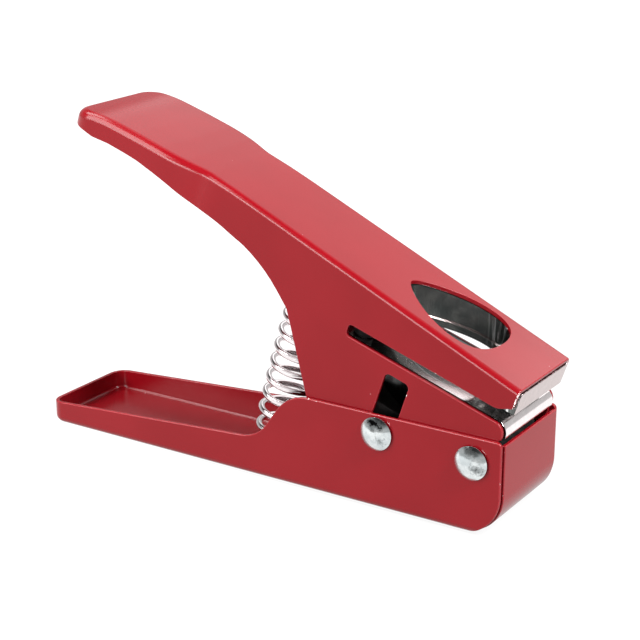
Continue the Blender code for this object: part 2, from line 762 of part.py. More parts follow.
def screw(name, place, seat, tip, parent):
    """A pan-head screw driven upwards, its head under the seat."""
    low = seat - FIT
    profile = [
        (0, low - SCREW_HEAD_HEIGHT),
        (SCREW_HEAD_RADIUS, low - SCREW_HEAD_HEIGHT),
        (SCREW_HEAD_RADIUS, low),
        (SCREW_RADIUS, low),
        (SCREW_RADIUS, tip),
        (0, tip),
    ]
    return add(name, turned(profile, "z", place), parent)


def upper_spring_bracket(jaw):
    """The bracket between the handle's walls, with a pressed pilot for the head of the spring."""
    half = CHANNEL_HALF - FIT
    top = BRACKET_LEVEL + BRACKET_SHEET
    outline = [
        (-half, BRACKET_LEVEL),
        (half, BRACKET_LEVEL),
        (half, top + BRACKET_FLANGE),
        (half - BRACKET_SHEET, top + BRACKET_FLANGE),
        (half - BRACKET_SHEET, top),
        (-half + BRACKET_SHEET, top),
        (-half + BRACKET_SHEET, top + BRACKET_FLANGE),
        (-half, top + BRACKET_FLANGE),
    ]
    rear = -SPRING_BEHIND_PIVOT - BRACKET_LENGTH / 2
    bracket = add("upper_spring_bracket", prism(outline, rear, rear + BRACKET_LENGTH, "x"), jaw)
    centre = (-SPRING_BEHIND_PIVOT, 0, BRACKET_LEVEL)
    inner = PILOT_RADIUS - CUP_SHEET
    cut(bracket, turned(cylinder(PILOT_RADIUS, -PILOT_HEIGHT, CUP_SHEET), "z", centre), "UNION")
    recess = cylinder(inner, CUP_SHEET - PILOT_HEIGHT, BRACKET_SHEET + OVERRUN)
    cut(bracket, turned(recess, "z", centre))
    return bracket


# Punch


def punch_blade(punch):
    """The pick-shaped blade, whose top lies just under the slit at rest."""
    high = SLIT_LEVEL - BLADE_RECESS
    blade = add("punch_blade", prism(pick_outline(-FIT), high - BLADE_HEIGHT, high, "z"), punch)
    for _, place in carrier_screws():
        bore = cylinder(SCREW_RADIUS + FIT, high - BLADE_HEIGHT - OVERRUN, BLADE_FOOT + SCREW_BITE + FIT)
        cut(blade, turned(bore, "z", place))
    return blade


def carrier_screws():
    """Where the two screws stand that hold the blade on its carrier, each side of the slot."""
    away = CARRIER_SCREW_SPACING / 2
    return (("front", (DRIVE_MIDDLE + away, 0, 0)), ("rear", (DRIVE_MIDDLE - away, 0, 0)))


def punch_carrier(punch):
    """The block under the blade, with the cross slot that the drive sleeve runs in."""
    rear = DRIVE_MIDDLE - CARRIER_LENGTH / 2
    outline = box_outline(
        rear, rear + CARRIER_LENGTH, CARRIER_FOOT, BLADE_FOOT - FIT, CARRIER_EDGE
    )
    carrier = add("punch_carrier", prism(outline, -CARRIER_WIDTH / 2, CARRIER_WIDTH / 2, "y"), punch)
    reach = DRIVE_SLEEVE_RADIUS + FIT
    slot = box_outline(
        DRIVE_MIDDLE - DRIVE_DRIFT / 2 - reach,
        DRIVE_MIDDLE + DRIVE_DRIFT / 2 + reach,
        DRIVE_REST[1] - reach,
        DRIVE_REST[1] + reach,
        DRIVE_SLEEVE_RADIUS,
    )
    side = CARRIER_WIDTH / 2 + OVERRUN
    cut(carrier, prism(slot, -side, side, "y"))
    for _, place in carrier_screws():
        bore = cylinder(SCREW_RADIUS + FIT, CARRIER_FOOT - OVERRUN, BLADE_FOOT + OVERRUN)
        cut(carrier, turned(bore, "z", place))
    return carrier


# Finishes


def paint(obj, colour, roughness, metallic):
    """The object's own material."""
    material = bpy.data.materials.new(obj.name)
    material.use_nodes = True
    shader = material.node_tree.nodes["Principled BSDF"]
    shader.inputs["Base Color"].default_value = (*colour, 1)
    shader.inputs["Roughness"].default_value = roughness
    shader.inputs["Metallic"].default_value = metallic
    material.diffuse_color = (*colour, 1)
    obj.data.materials.append(material)


RED_POWDER = ((0.36, 0.02, 0.03), 0.42, 0.0)
BRIGHT_NICKEL = ((0.80, 0.80, 0.78), 0.18, 1.0)
ZINC = ((0.62, 0.66, 0.67), 0.35, 1.0)
GROUND_STEEL = ((0.45, 0.46, 0.47), 0.28, 1.0)


def empty(name, place, parent=None):
    """A frame that carries moving pieces."""
    obj = bpy.data.objects.new(name, None)
    bpy.context.scene.collection.objects.link(obj)
    obj.location = place
    obj.parent = parent
    return obj


def main():
    for obj in list(bpy.data.objects):
        bpy.data.objects.remove(obj, do_unlink=True)

    jaw = empty("jaw_frame", PIVOT)
    jaw.rotation_euler = (0, REST_TILT, 0)
    punch = empty("punch_frame", (0, 0, 0), jaw)

    paint(base_tray(), *RED_POWDER)
    paint(rivet("pivot_rivet", PIVOT, PIVOT_SHANK_RADIUS), *ZINC)
    paint(sleeve("pivot_sleeve", PIVOT, PIVOT_SHANK_RADIUS, PIVOT_SLEEVE_RADIUS), *GROUND_STEEL)
    paint(rivet("drive_rivet", DRIVE, DRIVE_SHANK_RADIUS), *ZINC)
    paint(sleeve("drive_sleeve", DRIVE, DRIVE_SHANK_RADIUS, DRIVE_SLEEVE_RADIUS), *GROUND_STEEL)
    paint(lower_spring_cup(), *ZINC)
    paint(return_spring(), *BRIGHT_NICKEL)

    paint(handle_lever(jaw), *RED_POWDER)
    paint(upper_die(jaw), *GROUND_STEEL)
    paint(guide_plate(jaw), *BRIGHT_NICKEL)
    plate_foot = SLIT_LEVEL - PLATE_THICKNESS
    die_foot = SLIT_TOP + DIE_LIFT
    spacer = tube(SCREW_RADIUS + FIT, SPACER_RADIUS, SLIT_LEVEL + FIT, die_foot - FIT)
    for side, place in screw_places():
        paint(add("die_spacer_" + side, turned(spacer, "z", place), jaw), *BRIGHT_NICKEL)
        tip = die_foot + SCREW_BITE
        paint(screw("die_screw_" + side, place, plate_foot, tip, jaw), *ZINC)
    paint(upper_spring_bracket(jaw), *ZINC)

    paint(punch_blade(punch), *BRIGHT_NICKEL)
    paint(punch_carrier(punch), *GROUND_STEEL)
    for side, place in carrier_screws():
        tip = BLADE_FOOT + SCREW_BITE
        paint(screw("carrier_screw_" + side, place, CARRIER_FOOT, tip, punch), *ZINC)


main()
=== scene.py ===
"""The looks of the guitar pick punch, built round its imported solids.

Every piece is drawn in millimetres, in the world's frame or in the jaw's: the jaw's zero is the
pivot rivet, x runs forward along the card slit and z square to it. dress() turns it to metres.
"""

import math
import random

import bmesh
import bpy
import numpy as np
from mathutils import Matrix, Vector


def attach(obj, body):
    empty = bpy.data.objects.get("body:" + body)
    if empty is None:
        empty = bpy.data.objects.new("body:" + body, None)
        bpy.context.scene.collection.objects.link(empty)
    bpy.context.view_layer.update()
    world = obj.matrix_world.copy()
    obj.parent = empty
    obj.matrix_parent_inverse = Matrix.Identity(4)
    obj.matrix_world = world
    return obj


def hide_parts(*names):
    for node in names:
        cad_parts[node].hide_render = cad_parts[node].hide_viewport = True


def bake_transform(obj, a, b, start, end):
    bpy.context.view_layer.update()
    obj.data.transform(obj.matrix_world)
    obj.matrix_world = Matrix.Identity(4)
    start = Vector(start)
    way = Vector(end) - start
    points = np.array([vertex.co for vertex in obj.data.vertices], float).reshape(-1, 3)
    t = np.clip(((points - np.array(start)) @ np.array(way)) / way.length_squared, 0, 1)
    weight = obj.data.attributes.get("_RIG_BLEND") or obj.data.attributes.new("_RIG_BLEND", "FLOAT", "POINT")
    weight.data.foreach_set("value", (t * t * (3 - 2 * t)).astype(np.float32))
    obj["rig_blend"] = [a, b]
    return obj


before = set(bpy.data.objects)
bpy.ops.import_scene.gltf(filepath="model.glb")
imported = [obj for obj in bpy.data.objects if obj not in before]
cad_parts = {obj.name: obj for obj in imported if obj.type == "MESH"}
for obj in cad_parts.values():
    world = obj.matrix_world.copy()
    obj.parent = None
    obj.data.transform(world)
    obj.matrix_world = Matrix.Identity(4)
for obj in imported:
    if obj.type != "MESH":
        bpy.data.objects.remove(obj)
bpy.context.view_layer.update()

MM = 0.001

# Base, in millimetres
BASE_LENGTH = 165.0
BASE_WIDTH = 35.8
SHEET = 1.2
FIT = 0.3
WALL_HEIGHT = 29.2
TRAY_RIM_REAR = 7.1
TRAY_RIM_FRONT = 12.3
TRAY_LENGTH = 77.1
BASE_BEND = 2.2
TRAY_CORNER = 5.0
SWEEP_ANGLE = math.radians(55.0)
SWEEP_LOWER_RADIUS = 12.0
SWEEP_UPPER_RADIUS = 14.0
WALL_CORNER = 1.5
FLAP_CURL = 12.5
FLAP_PROUD = 0.5
FLAP_GAP = 0.4
FLAP_HEIGHT = 28.1

# Jaw and handle, in the jaw's frame
PIVOT = Vector((73.2, 0, 21.8))
REST_TILT = math.radians(18.5)
JAW_REACH = 4.95
JAW_TOP = 25.95
TOP_RISE = math.radians(6.3)
TOP_LENGTH = 121.4
CREST_RADIUS = 376.0
GRIP_DROP = math.radians(1.5)
GRIP_LENGTH = 32.75
TAIL_RADIUS = 55.0
TAIL_DROP = math.radians(12.8)
HANDLE_REAR = -158.55
FRONT_BEND = 1.75
GRIP_BEND = 2.5
BEND_START = -92.0
BEND_END = -125.0
GRIP_WIDTH = 38.4
GRIP_CORNER = 7.0
FLARE_START = -108.0
FLARE_END = -124.0
FOOT_FLARE_START = -98.0
FOOT_FLARE_END = -116.5
FOOT_LEVEL = 24.5
SKIRT = (-127.5, 31.4)
SKIRT_RADIUS = 85.0
SKIRT_WAVE = ((-152.5, 31.4, 4.0), (-148.8, 30.9, 5.0), (-142.5, 31.5, 9.0))
BELLY_ANGLE = math.radians(12.8)
BELLY_LENGTH = 46.0
BELLY_RADIUS = 46.6
THROAT_ANGLE = math.radians(37.2)
THROAT_LENGTH = 16.0
THROAT_RADIUS = 4.0
REAR_EDGE_ANGLE = math.radians(57.0)
WALL_FOOT = 15.5
FOOT_RADIUS = 3.0
FOOT_FRONT = 19.0
KNUCKLE_RADIUS = 7.1
NOSE_REACH = 4.95
NOSE_RADIUS = 3.6
NOSE_CLEARANCE = 1.2
HANDLE_WIDTH = BASE_WIDTH - 2 * (SHEET + FIT)
CHANNEL_HALF = HANDLE_WIDTH / 2 - SHEET
CHIPS_DEPTH = 0.7
CHIPS_LOW = 17.0
CHIPS_HIGH = 25.2

# Slit, plates and pick
SLIT_LEVEL = 14.1
SLIT_TOP = 17.75
SLIT_REAR = -49.35
SLIT_END_RADIUS = 1.2
LEAD_IN_LENGTH = 4.6
LEAD_IN_ANGLE = math.radians(28.0)
LEAD_IN_RADIUS = 5.0
PLATE_REACH = 5.45
PLATE_THICKNESS = 4.0
PLATE_NOSE = 3.6
PLATE_REAR = -52.0
PLATE_HALF = CHANNEL_HALF - FIT
DIE_REACH = 5.35
DIE_FOOT = 17.85
DIE_CHAMFER = 0.7
PICK_FRONT = -10.25
PICK_LENGTH = 31.6
PICK_WIDTH = 24.8
PICK_WIDEST = 9.9
PICK_SHARES = (0.26, 0.45, 0.66, 0.68)
WINDOW_MARGIN = 0.3
LEDGE_LEVEL = 2.3
LEDGE_WIDTH = 0.7

# Rivets, sleeves, punch and screws
DRIVE = PIVOT + Vector((-30.6, 0, 1.87))
PIVOT_SHANK = 2.4
PIVOT_SLEEVE = 3.6
DRIVE_SHANK = 2.0
DRIVE_SLEEVE = 2.8
HEAD_RADIUS = 5.05
HEAD_HEIGHT = 2.6
HEAD_RIM = 0.5
TAIL_RADIUS_RIVET = 4.2
TAIL_HEIGHT = 1.8
PIVOT_SEED = 4
DRIVE_SEED = 11
FLATS = 13
DEEPEST_FLAT = 0.28
# Dark reflections painted on each rivet head, as (x, z, size, depth): a crescent of dark ceiling near the
# top and a darker patch low on the right.
PIVOT_PAINTED_REFLECTIONS = (
    (-0.2, 0.80, 0.20, 0.62),
    (0.12, 0.74, 0.20, 0.5),
    (0.42, 0.64, 0.18, 0.45),
    (0.55, -0.25, 0.40, 0.6),
)
DRIVE_PAINTED_REFLECTIONS = (
    (-0.42, 0.74, 0.20, 0.65),
    (-0.1, 0.74, 0.22, 0.7),
    (0.22, 0.68, 0.22, 0.65),
    (0.5, 0.52, 0.2, 0.6),
    (-0.05, 0.38, 0.16, 0.45),
    (0.5, -0.3, 0.3, 0.42),
)
SLOT_REAR = -33.8
SLOT_FRONT = -25.7
SLOT_TOP = 9.95
SLOT_CORNER = 1.5
BLADE_TOP = 13.9
BLADE_FOOT = -0.6
CARRIER_LENGTH = 24.0
CARRIER_WIDTH = 28.6
CARRIER_FLOOR = 2.6
CARRIER_SCREWS = 8.3
SCREW_RADIUS = 1.5
SCREW_HEAD_RADIUS = 2.75
SCREW_HEAD_HEIGHT = 1.8
SCREW_BITE = 8.0
THREAD_PITCH = 0.5
THREAD_DEPTH = 0.28
SPACER_RADIUS = 3.0
SPACER_PLACE = (-46.55, 10.6)

# Spring and its seats
WIRE = 2.0
SPRING_RADIUS = 9.6
SPRING_PITCH = 5.4
END_PITCH = 4.0
SPRING_FOOT_PULL = 3.1
SPRING_HEAD_PULL = 53.5
SPRING_X = -67.5
SPRING_START = math.radians(271.6)
SPRING_LEG_BEND = 2.0
CURL_POINTS = 40
CUP_SHEET = 1.0
CUP_FLANGE = 11.5
PILOT_RADIUS = 7.6
PILOT_HEIGHT = 3.4
BRACKET_LEVEL = 18.0
BRACKET_LENGTH = 21.0
BRACKET_FLANGE = 6.0
BRACKET_SHEET = 1.5

# How finely things are drawn, and how far cutters and zones reach past them
ARC_STEP = math.radians(5.0)
BEND_STEPS = 10
CORNER_STEPS = 12
PICK_STEPS = 26
DOME_STEPS = 22
OVER = 5.0
ABOVE_JAW = JAW_TOP + 2 * OVER
AROUND = 1.0
EASED_FROM = math.radians(35.0)
CREASED_FROM = math.radians(48.0)

WORLD = Matrix.Identity(4)
JAW = Matrix.Translation(PIVOT) @ Matrix.Rotation(REST_TILT, 4, "Y")


# Outlines


def rounded(corners):
    """An outline through (x, z, radius) corners, with an arc at each corner that has a radius."""
    points = []
    for i, (x, z, radius) in enumerate(corners):
        if not radius:
            points.append((x, z))
            continue
        here = Vector((x, z))
        before = (Vector(corners[i - 1][:2]) - here).normalized()
        after = (Vector(corners[(i + 1) % len(corners)][:2]) - here).normalized()
        half = before.angle(after) / 2
        centre = here + (before + after).normalized() * (radius / math.sin(half))
        start = here + before * (radius / math.tan(half)) - centre
        end = here + after * (radius / math.tan(half)) - centre
        turn = math.atan2(start.x * end.y - start.y * end.x, start.dot(end))
        steps = max(6, round(abs(turn) / ARC_STEP))
        first = math.atan2(start.y, start.x)
        for k in range(steps + 1):
            a = first + turn * k / steps
            points.append((centre.x + radius * math.cos(a), centre.y + radius * math.sin(a)))
    return points


def legs(start, moves):
    """The corners reached from start by straight legs of (length, angle), angle 0 along +x."""
    x, z = start
    found = [(x, z)]
    for length, angle in moves:
        x += length * math.cos(angle)
        z += length * math.sin(angle)
        found.append((x, z))
    return found


def arc(centre, radius, first, last):
    """Points round a centre from the first angle to the last."""
    steps = max(6, round(abs(last - first) / ARC_STEP))
    return [
        (centre[0] + radius * math.cos(a), centre[1] + radius * math.sin(a))
        for a in np.linspace(first, last, steps + 1)
    ]


def bezier(p0, p1, p2, p3, steps):
    """Points along a cubic curve, without its last."""
    p0, p1, p2, p3 = (np.array(p) for p in (p0, p1, p2, p3))
    t = np.linspace(0, 1, steps, endpoint=False)[:, None]
    curve = (1 - t) ** 3 * p0 + 3 * (1 - t) ** 2 * t * p1 + 3 * (1 - t) * t**2 * p2 + t**3 * p3
    return [tuple(p) for p in curve]


def grown(outline, margin):
    """The closed outline moved outwards by margin. It runs anticlockwise."""
    moved = []
    for i, p in enumerate(outline):
        ahead = Vector(outline[(i + 1) % len(outline)]) - Vector(outline[i - 1])
        ahead.normalize()
        moved.append((p[0] + ahead.y * margin, p[1] - ahead.x * margin))
    return moved


def pick_outline(margin):
    """The pick seen from above: its tip points back along the jaw and its round end forward."""
    tip_share, side_share, shoulder_share, end_share = PICK_SHARES
    half = PICK_WIDTH / 2
    tip = PICK_FRONT - PICK_LENGTH
    widest = PICK_FRONT - PICK_WIDEST
    side = (widest - tip) * side_share
    shoulder = widest + PICK_WIDEST * shoulder_share
    waist = (widest, -half)
    end = (PICK_FRONT, 0)
    near = bezier((tip, 0), (tip, -half * tip_share), (widest - side, -half), waist, PICK_STEPS)
    near += bezier(waist, (shoulder, -half), (PICK_FRONT, -half * end_share), end, PICK_STEPS)
    far = [(x, -y) for x, y in near[:0:-1]]
    return grown(near + [end] + far, margin)


def box_outline(x_low, x_high, z_low, z_high, radius=0):
    """A rectangle, with round corners if it has a radius."""
    places = ((x_low, z_low), (x_high, z_low), (x_high, z_high), (x_low, z_high))
    return rounded([(*p, radius) for p in places])


def jaw_point(dx, dz):
    """A place given from the pivot in world directions, in the jaw's frame at rest."""
    c, s = math.cos(REST_TILT), math.sin(REST_TILT)
    return (dx * c - dz * s, dx * s + dz * c)


# Solids


def prism(outline, low, high, across):
    """A closed solid: the outline drawn from low to high along the axis that across names."""
    place = {
        "x": lambda p, level: (level, p[0], p[1]),
        "y": lambda p, level: (p[0], level, p[1]),
        "z": lambda p, level: (p[0], p[1], level),
    }[across]
    bm = bmesh.new()
    ends = []
    for level in (low, high):
        ends.append([bm.verts.new(place(p, level)) for p in outline])
        bm.faces.new(ends[-1])
    for i in range(len(outline)):
        bm.faces.new((ends[0][i - 1], ends[0][i], ends[1][i], ends[1][i - 1]))
    return bm


def turned(profile, axis, centre, sides=64):
    """A solid of revolution: (radius, height) points round the axis, which runs through centre."""
    bm = bmesh.new()
    rings = []
    for radius, height in profile:
        ring = []
        for k in range(sides if radius else 1):
            a = 2 * math.pi * k / sides
            x, y = radius * math.cos(a), radius * math.sin(a)
            offset = {"y": (x, height, y), "z": (x, y, height)}[axis]
            ring.append(bm.verts.new(Vector(centre) + Vector(offset)))
        rings.append(ring)
    pairs = list(zip(rings, rings[1:]))
    if profile[0][0]:
        pairs.append((rings[-1], rings[0]))
    for a, b in pairs:
        for k in range(sides):
            n = (k + 1) % sides
            corners = [a[k % len(a)], a[n % len(a)], b[n % len(b)], b[k % len(b)]]
            bm.faces.new(list(dict.fromkeys(corners)))
    return bm


def cylinder(radius, low, high):
    """The profile of a plain cylinder."""
    return [(0, low), (radius, low), (radius, high), (0, high)]


def tube(inner, outer, low, high):
    """The profile of a plain tube."""
    return [(inner, low), (outer, low), (outer, high), (inner, high)]


def channel(path, skin, reach, bend, draw=None, knee=0):
    """A sheet channel: a skin, with walls turned off it along a path and its mirror image.

    The bend's outer radius is bend(x). From the knee on, the walls stand draw(x) further in."""
    bm = bmesh.new()
    up = 1 if reach < skin(path[0][0]) else -1
    shells = []
    for depth in (0, SHEET):
        sides = []
        for mirror in (1, -1):
            rows = []
            for x, y, nx, ny in path:
                row = []
                outer = bend(x)
                radius = outer - depth
                for k in range(BEND_STEPS + 1):
                    a = math.pi / 2 * k / BEND_STEPS
                    inset = outer - radius * math.sin(a)
                    px = x - nx * inset
                    z = skin(px) - up * (outer - radius * math.cos(a))
                    row.append(bm.verts.new((px, (y - ny * inset) * mirror, z)))
                fx, fy, fz = row[-1].co
                if draw:
                    fy += draw(fx) * mirror
                    row.append(bm.verts.new((fx, fy, min(knee, fz - 1))))
                row.append(bm.verts.new((fx, fy, reach)))
                rows.append(row)
            sides.append(rows)
        shells.append(sides)
    face = bm.faces.new
    for near, far in shells:
        for rows in (near, far):
            for a, b in zip(rows, rows[1:]):
                for k in range(len(a) - 1):
                    face((a[k], a[k + 1], b[k + 1], b[k]))
        for k in range(len(near[-1]) - 1):
            face((near[-1][k], near[-1][k + 1], far[-1][k + 1], far[-1][k]))
        for i in range(len(near) - 1):
            face((near[i][0], near[i + 1][0], far[i + 1][0], far[i][0]))
    for outer, inner in zip(*shells):
        for i in range(len(outer) - 1):
            face((outer[i][-1], outer[i + 1][-1], inner[i + 1][-1], inner[i][-1]))
        for k in range(len(outer[0]) - 1):
            face((outer[0][k], outer[0][k + 1], inner[0][k + 1], inner[0][k]))
    (outer_near, outer_far), (inner_near, inner_far) = shells
    for i, k in ((-1, -1), (0, 0)):
        face((outer_near[i][k], outer_far[i][k], inner_far[i][k], inner_near[i][k]))
    return bm


def rear_corner(x_end, half, radius):
    """The plan of a channel's rounded rear corner on the near side."""
    found = []
    for k in range(CORNER_STEPS + 1):
        a = math.pi / 2 * k / CORNER_STEPS
        nx, ny = -math.sin(a), -math.cos(a)
        found.append((x_end + radius * (1 + nx), -half + radius * (1 + ny), nx, ny))
    return found


def linked(name, data):
    """A new object in the scene that holds this data."""
    obj = bpy.data.objects.new(name, data)
    bpy.context.scene.collection.objects.link(obj)
    return obj


def place_mesh(name, bm):
    """A plain object that holds this bmesh, as drawn."""
    bmesh.ops.recalc_face_normals(bm, faces=bm.faces)
    mesh = bpy.data.meshes.new(name)
    bm.to_mesh(mesh)
    bm.free()
    return linked(name, mesh)


def carved(bm, tools):
    """The solid after each (tool, operation) in turn, as a new bmesh."""
    obj = place_mesh("blank", bm)
    made = [obj]
    for tool, operation in tools:
        other = place_mesh("tool", tool)
        made.append(other)
        modifier = obj.modifiers.new("carve", "BOOLEAN")
        modifier.operation = operation
        modifier.solver = "EXACT"
        modifier.object = other
    result = bmesh.new()
    shown = obj.evaluated_get(bpy.context.evaluated_depsgraph_get())
    result.from_mesh(shown.to_mesh())
    shown.to_mesh_clear()
    for other in made:
        bpy.data.objects.remove(other)
    return result


def cut(bm, tools):
    """The solid less every tool."""
    return carved(bm, [(tool, "DIFFERENCE") for tool in tools])


def eased(bm, width, segments=3, spare=None):
    """Rounds the sharp edges, and marks the new faces as edge, for the wear there and for the painted
    highlight and painted shade along them.

    An edge with an end that spare picks stays sharp."""
    layers = bm.faces.layers.float
    edge = layers.get("edge") or layers.new("edge")
    bmesh.ops.remove_doubles(bm, verts=bm.verts, dist=0.005)
    bmesh.ops.dissolve_limit(
        bm,
        angle_limit=math.radians(0.03),
        verts=bm.verts,
        edges=bm.edges,
        use_dissolve_boundaries=False,
    )
    sharp = [e for e in bm.edges if len(e.link_faces) == 2 and e.calc_face_angle() > EASED_FROM]
    if spare:
        sharp = [e for e in sharp if not any(spare(v.co) for v in e.verts)]
    made = bmesh.ops.bevel(
        bm,
        geom=sharp,
        offset=width,
        offset_type="OFFSET",
        segments=segments,
        profile=0.5,
        affect="EDGES",
        clamp_overlap=False,
        loop_slide=False,
    )
    for f in made["faces"]:
        f[edge] = 1.0
    return bm


def ground(bm, x=math.inf, z=math.inf):
    """Marks the faces beyond x or z as ground bright, but not those that face sideways."""
    bright = bm.faces.layers.float.new("ground")
    bm.normal_update()
    for f in bm.faces:
        middle = f.calc_center_median()
        f[bright] = float((middle.x > x or middle.z > z) and abs(f.normal.y) < 0.5)
    return bm


def dress(name, bm, body, material, node, matrix=WORLD):
    """A finished piece in metres that rides on its body, if it has one, and stands for a node."""
    bm.transform(matrix)
    bm.transform(Matrix.Scale(MM, 4))
    obj = place_mesh(name, bm)
    mesh = obj.data
    mesh.shade_smooth()
    mesh.set_sharp_from_angle(angle=CREASED_FROM)
    modifier = obj.modifiers.new("weighted", "WEIGHTED_NORMAL")
    modifier.keep_sharp = True
    modifier.weight = 80
    mesh.materials.append(material)
    if body:
        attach(obj, body)
    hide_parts(node)
    return obj


# Base


def base_shell():
    """One pressed sheet: tray, tall side walls, and a front flap curled up between them."""
    rear = -BASE_LENGTH / 2
    front = BASE_LENGTH / 2
    half = BASE_WIDTH / 2
    wall_front = front - FLAP_PROUD
    curl = front - FLAP_CURL
    path = [(x, -half, 0, -1) for x in (wall_front, curl, rear + TRAY_LENGTH)]
    path += rear_corner(rear, half, TRAY_CORNER)
    sheet = channel(path, lambda x: 0, WALL_HEIGHT + OVER, lambda x: BASE_BEND)

    slope = math.atan2(TRAY_RIM_FRONT - TRAY_RIM_REAR, TRAY_LENGTH)
    low = SWEEP_LOWER_RADIUS * math.tan((SWEEP_ANGLE - slope) / 2)
    foot_x = rear + TRAY_LENGTH + low
    foot_z = TRAY_RIM_FRONT + low * math.tan(slope)
    sweep_end = foot_x + (WALL_HEIGHT - foot_z) / math.tan(SWEEP_ANGLE)
    above = WALL_HEIGHT + 2 * OVER
    over_rim = rounded(
        [
            (rear - OVER, TRAY_RIM_REAR - OVER * math.tan(slope), 0),
            (foot_x, foot_z, SWEEP_LOWER_RADIUS),
            (sweep_end, WALL_HEIGHT, SWEEP_UPPER_RADIUS),
            (wall_front, WALL_HEIGHT, WALL_CORNER),
            (wall_front, 0, 0),
            (front + OVER, 0, 0),
            (front + OVER, above, 0),
            (rear - OVER, above, 0),
        ]
    )
    under_curl = arc((wall_front - FLAP_CURL, FLAP_CURL), FLAP_CURL, 0, -math.pi / 2)
    under_curl += [(wall_front - FLAP_CURL, -OVER), (front + OVER, -OVER)]
    under_curl += [(front + OVER, FLAP_CURL)]
    flap_half = half - SHEET - FLAP_GAP
    strip = [(curl - OVER, 0)]
    strip += arc((curl, FLAP_CURL), FLAP_CURL, -math.pi / 2, 0)
    strip += [(front, FLAP_HEIGHT), (front - SHEET, FLAP_HEIGHT)]
    strip += arc((curl, FLAP_CURL), FLAP_CURL - SHEET, 0, -math.pi / 2)
    strip += [(curl - OVER, SHEET)]
    side = half + OVER
    tools = [
        (prism(over_rim, -side, side, "y"), "DIFFERENCE"),
        (prism(under_curl, -side, side, "y"), "DIFFERENCE"),
        (prism(strip, -flap_half, flap_half, "y"), "UNION"),
    ]
    for centre, shank in ((PIVOT, PIVOT_SHANK), (DRIVE, DRIVE_SHANK)):
        tools.append((turned(cylinder(shank + FIT, -side, side), "y", centre), "DIFFERENCE"))

    def under_flap(p):
        return curl - 2 * OVER < p.x < curl + 6 and p.z < SHEET + 0.5

    return eased(carved(sheet, tools), 0.3, spare=under_flap)


def rivet(centre, shank, seed, painted_reflections):
    """A rivet with a domed head and a tail formed on the far side, both hammered a little flat.

    Each painted dark reflection is (x, z, size, depth), in head radii from the middle of the head."""
    seat = BASE_WIDTH / 2 + FIT

    def dome(radius, height, sign):
        ball = (radius**2 + height**2) / (2 * height)
        widest = math.asin(radius / ball)
        found = []
        for k in range(1, DOME_STEPS + 1):
            a = widest * k / DOME_STEPS
            rise = HEAD_RIM + ball * math.cos(a) - ball + height
            found.append((ball * math.sin(a), sign * (seat + rise)))
        for a in np.linspace(0, math.pi / 2, 5)[1:]:
            r = radius - 0.25 * (1 - math.cos(a))
            found.append((r, sign * (seat + HEAD_RIM * (1 - math.sin(a)))))
        return found

    profile = [(0, -seat - HEAD_HEIGHT)] + dome(HEAD_RADIUS, HEAD_HEIGHT - HEAD_RIM, -1)
    profile += [(shank, -seat), (shank, seat)]
    profile += dome(TAIL_RADIUS_RIVET, TAIL_HEIGHT - HEAD_RIM, 1)[::-1] + [(0, seat + TAIL_HEIGHT)]
    bm = turned(profile, "y", centre, 96)
    draw = random.Random(seed)
    flats = []
    for k in range(FLATS):
        reach = HEAD_RADIUS * 0.95 * math.sqrt(draw.random())
        turn = draw.random() * 2 * math.pi
        x, z = centre.x + reach * math.cos(turn), centre.z + reach * math.sin(turn)
        flats.append((x, z, draw.uniform(0.9, 1.7), draw.uniform(0.02, 0.07)))
    # This layer holds the painted dark reflections on the head.
    stain_and_painted_reflection = bm.verts.layers.float.new("stain_and_painted_reflection")
    for v in bm.verts:
        x, z = (v.co.x - centre.x) / HEAD_RADIUS, (v.co.z - centre.z) / HEAD_RADIUS
        for sx, sz, size, depth in painted_reflections:
            v[stain_and_painted_reflection] += depth * math.exp(-((x - sx) ** 2 + (z - sz) ** 2) / size**2)
        rise = abs(v.co.y) - seat
        if rise < 0.3:
            continue
        sink = 0
        for x, z, size, depth in flats:
            away = ((v.co.x - x) ** 2 + (v.co.z - z) ** 2) / size**2
            sink += depth * math.exp(-(away**2))
        sink = min(sink, DEEPEST_FLAT) * min(1, (rise - 0.3) / 0.5)
        v.co.y -= math.copysign(sink, v.co.y)
    return bm


def sleeve(centre, shank, outer):
    """The tube round a rivet that keeps the base's walls apart."""
    half = BASE_WIDTH / 2 - SHEET - FIT
    return eased(turned(tube(shank + FIT, outer, -half, half), "y", centre), 0.25)


def spring_cup():
    """The pressed cup on the floor whose raised middle centres the foot of the spring."""
    inner = PILOT_RADIUS - CUP_SHEET
    profile = [
        (0, PILOT_HEIGHT),
        (inner, PILOT_HEIGHT),
        (PILOT_RADIUS, PILOT_HEIGHT - CUP_SHEET),
        (PILOT_RADIUS, CUP_SHEET),
        (CUP_FLANGE, CUP_SHEET),
        (CUP_FLANGE, 0),
        (inner, 0),
        (inner, PILOT_HEIGHT - CUP_SHEET),
        (0, PILOT_HEIGHT - CUP_SHEET),
    ]
    return eased(turned(profile, "z", (0, 0, SHEET + FIT)), 0.25)


# Spring


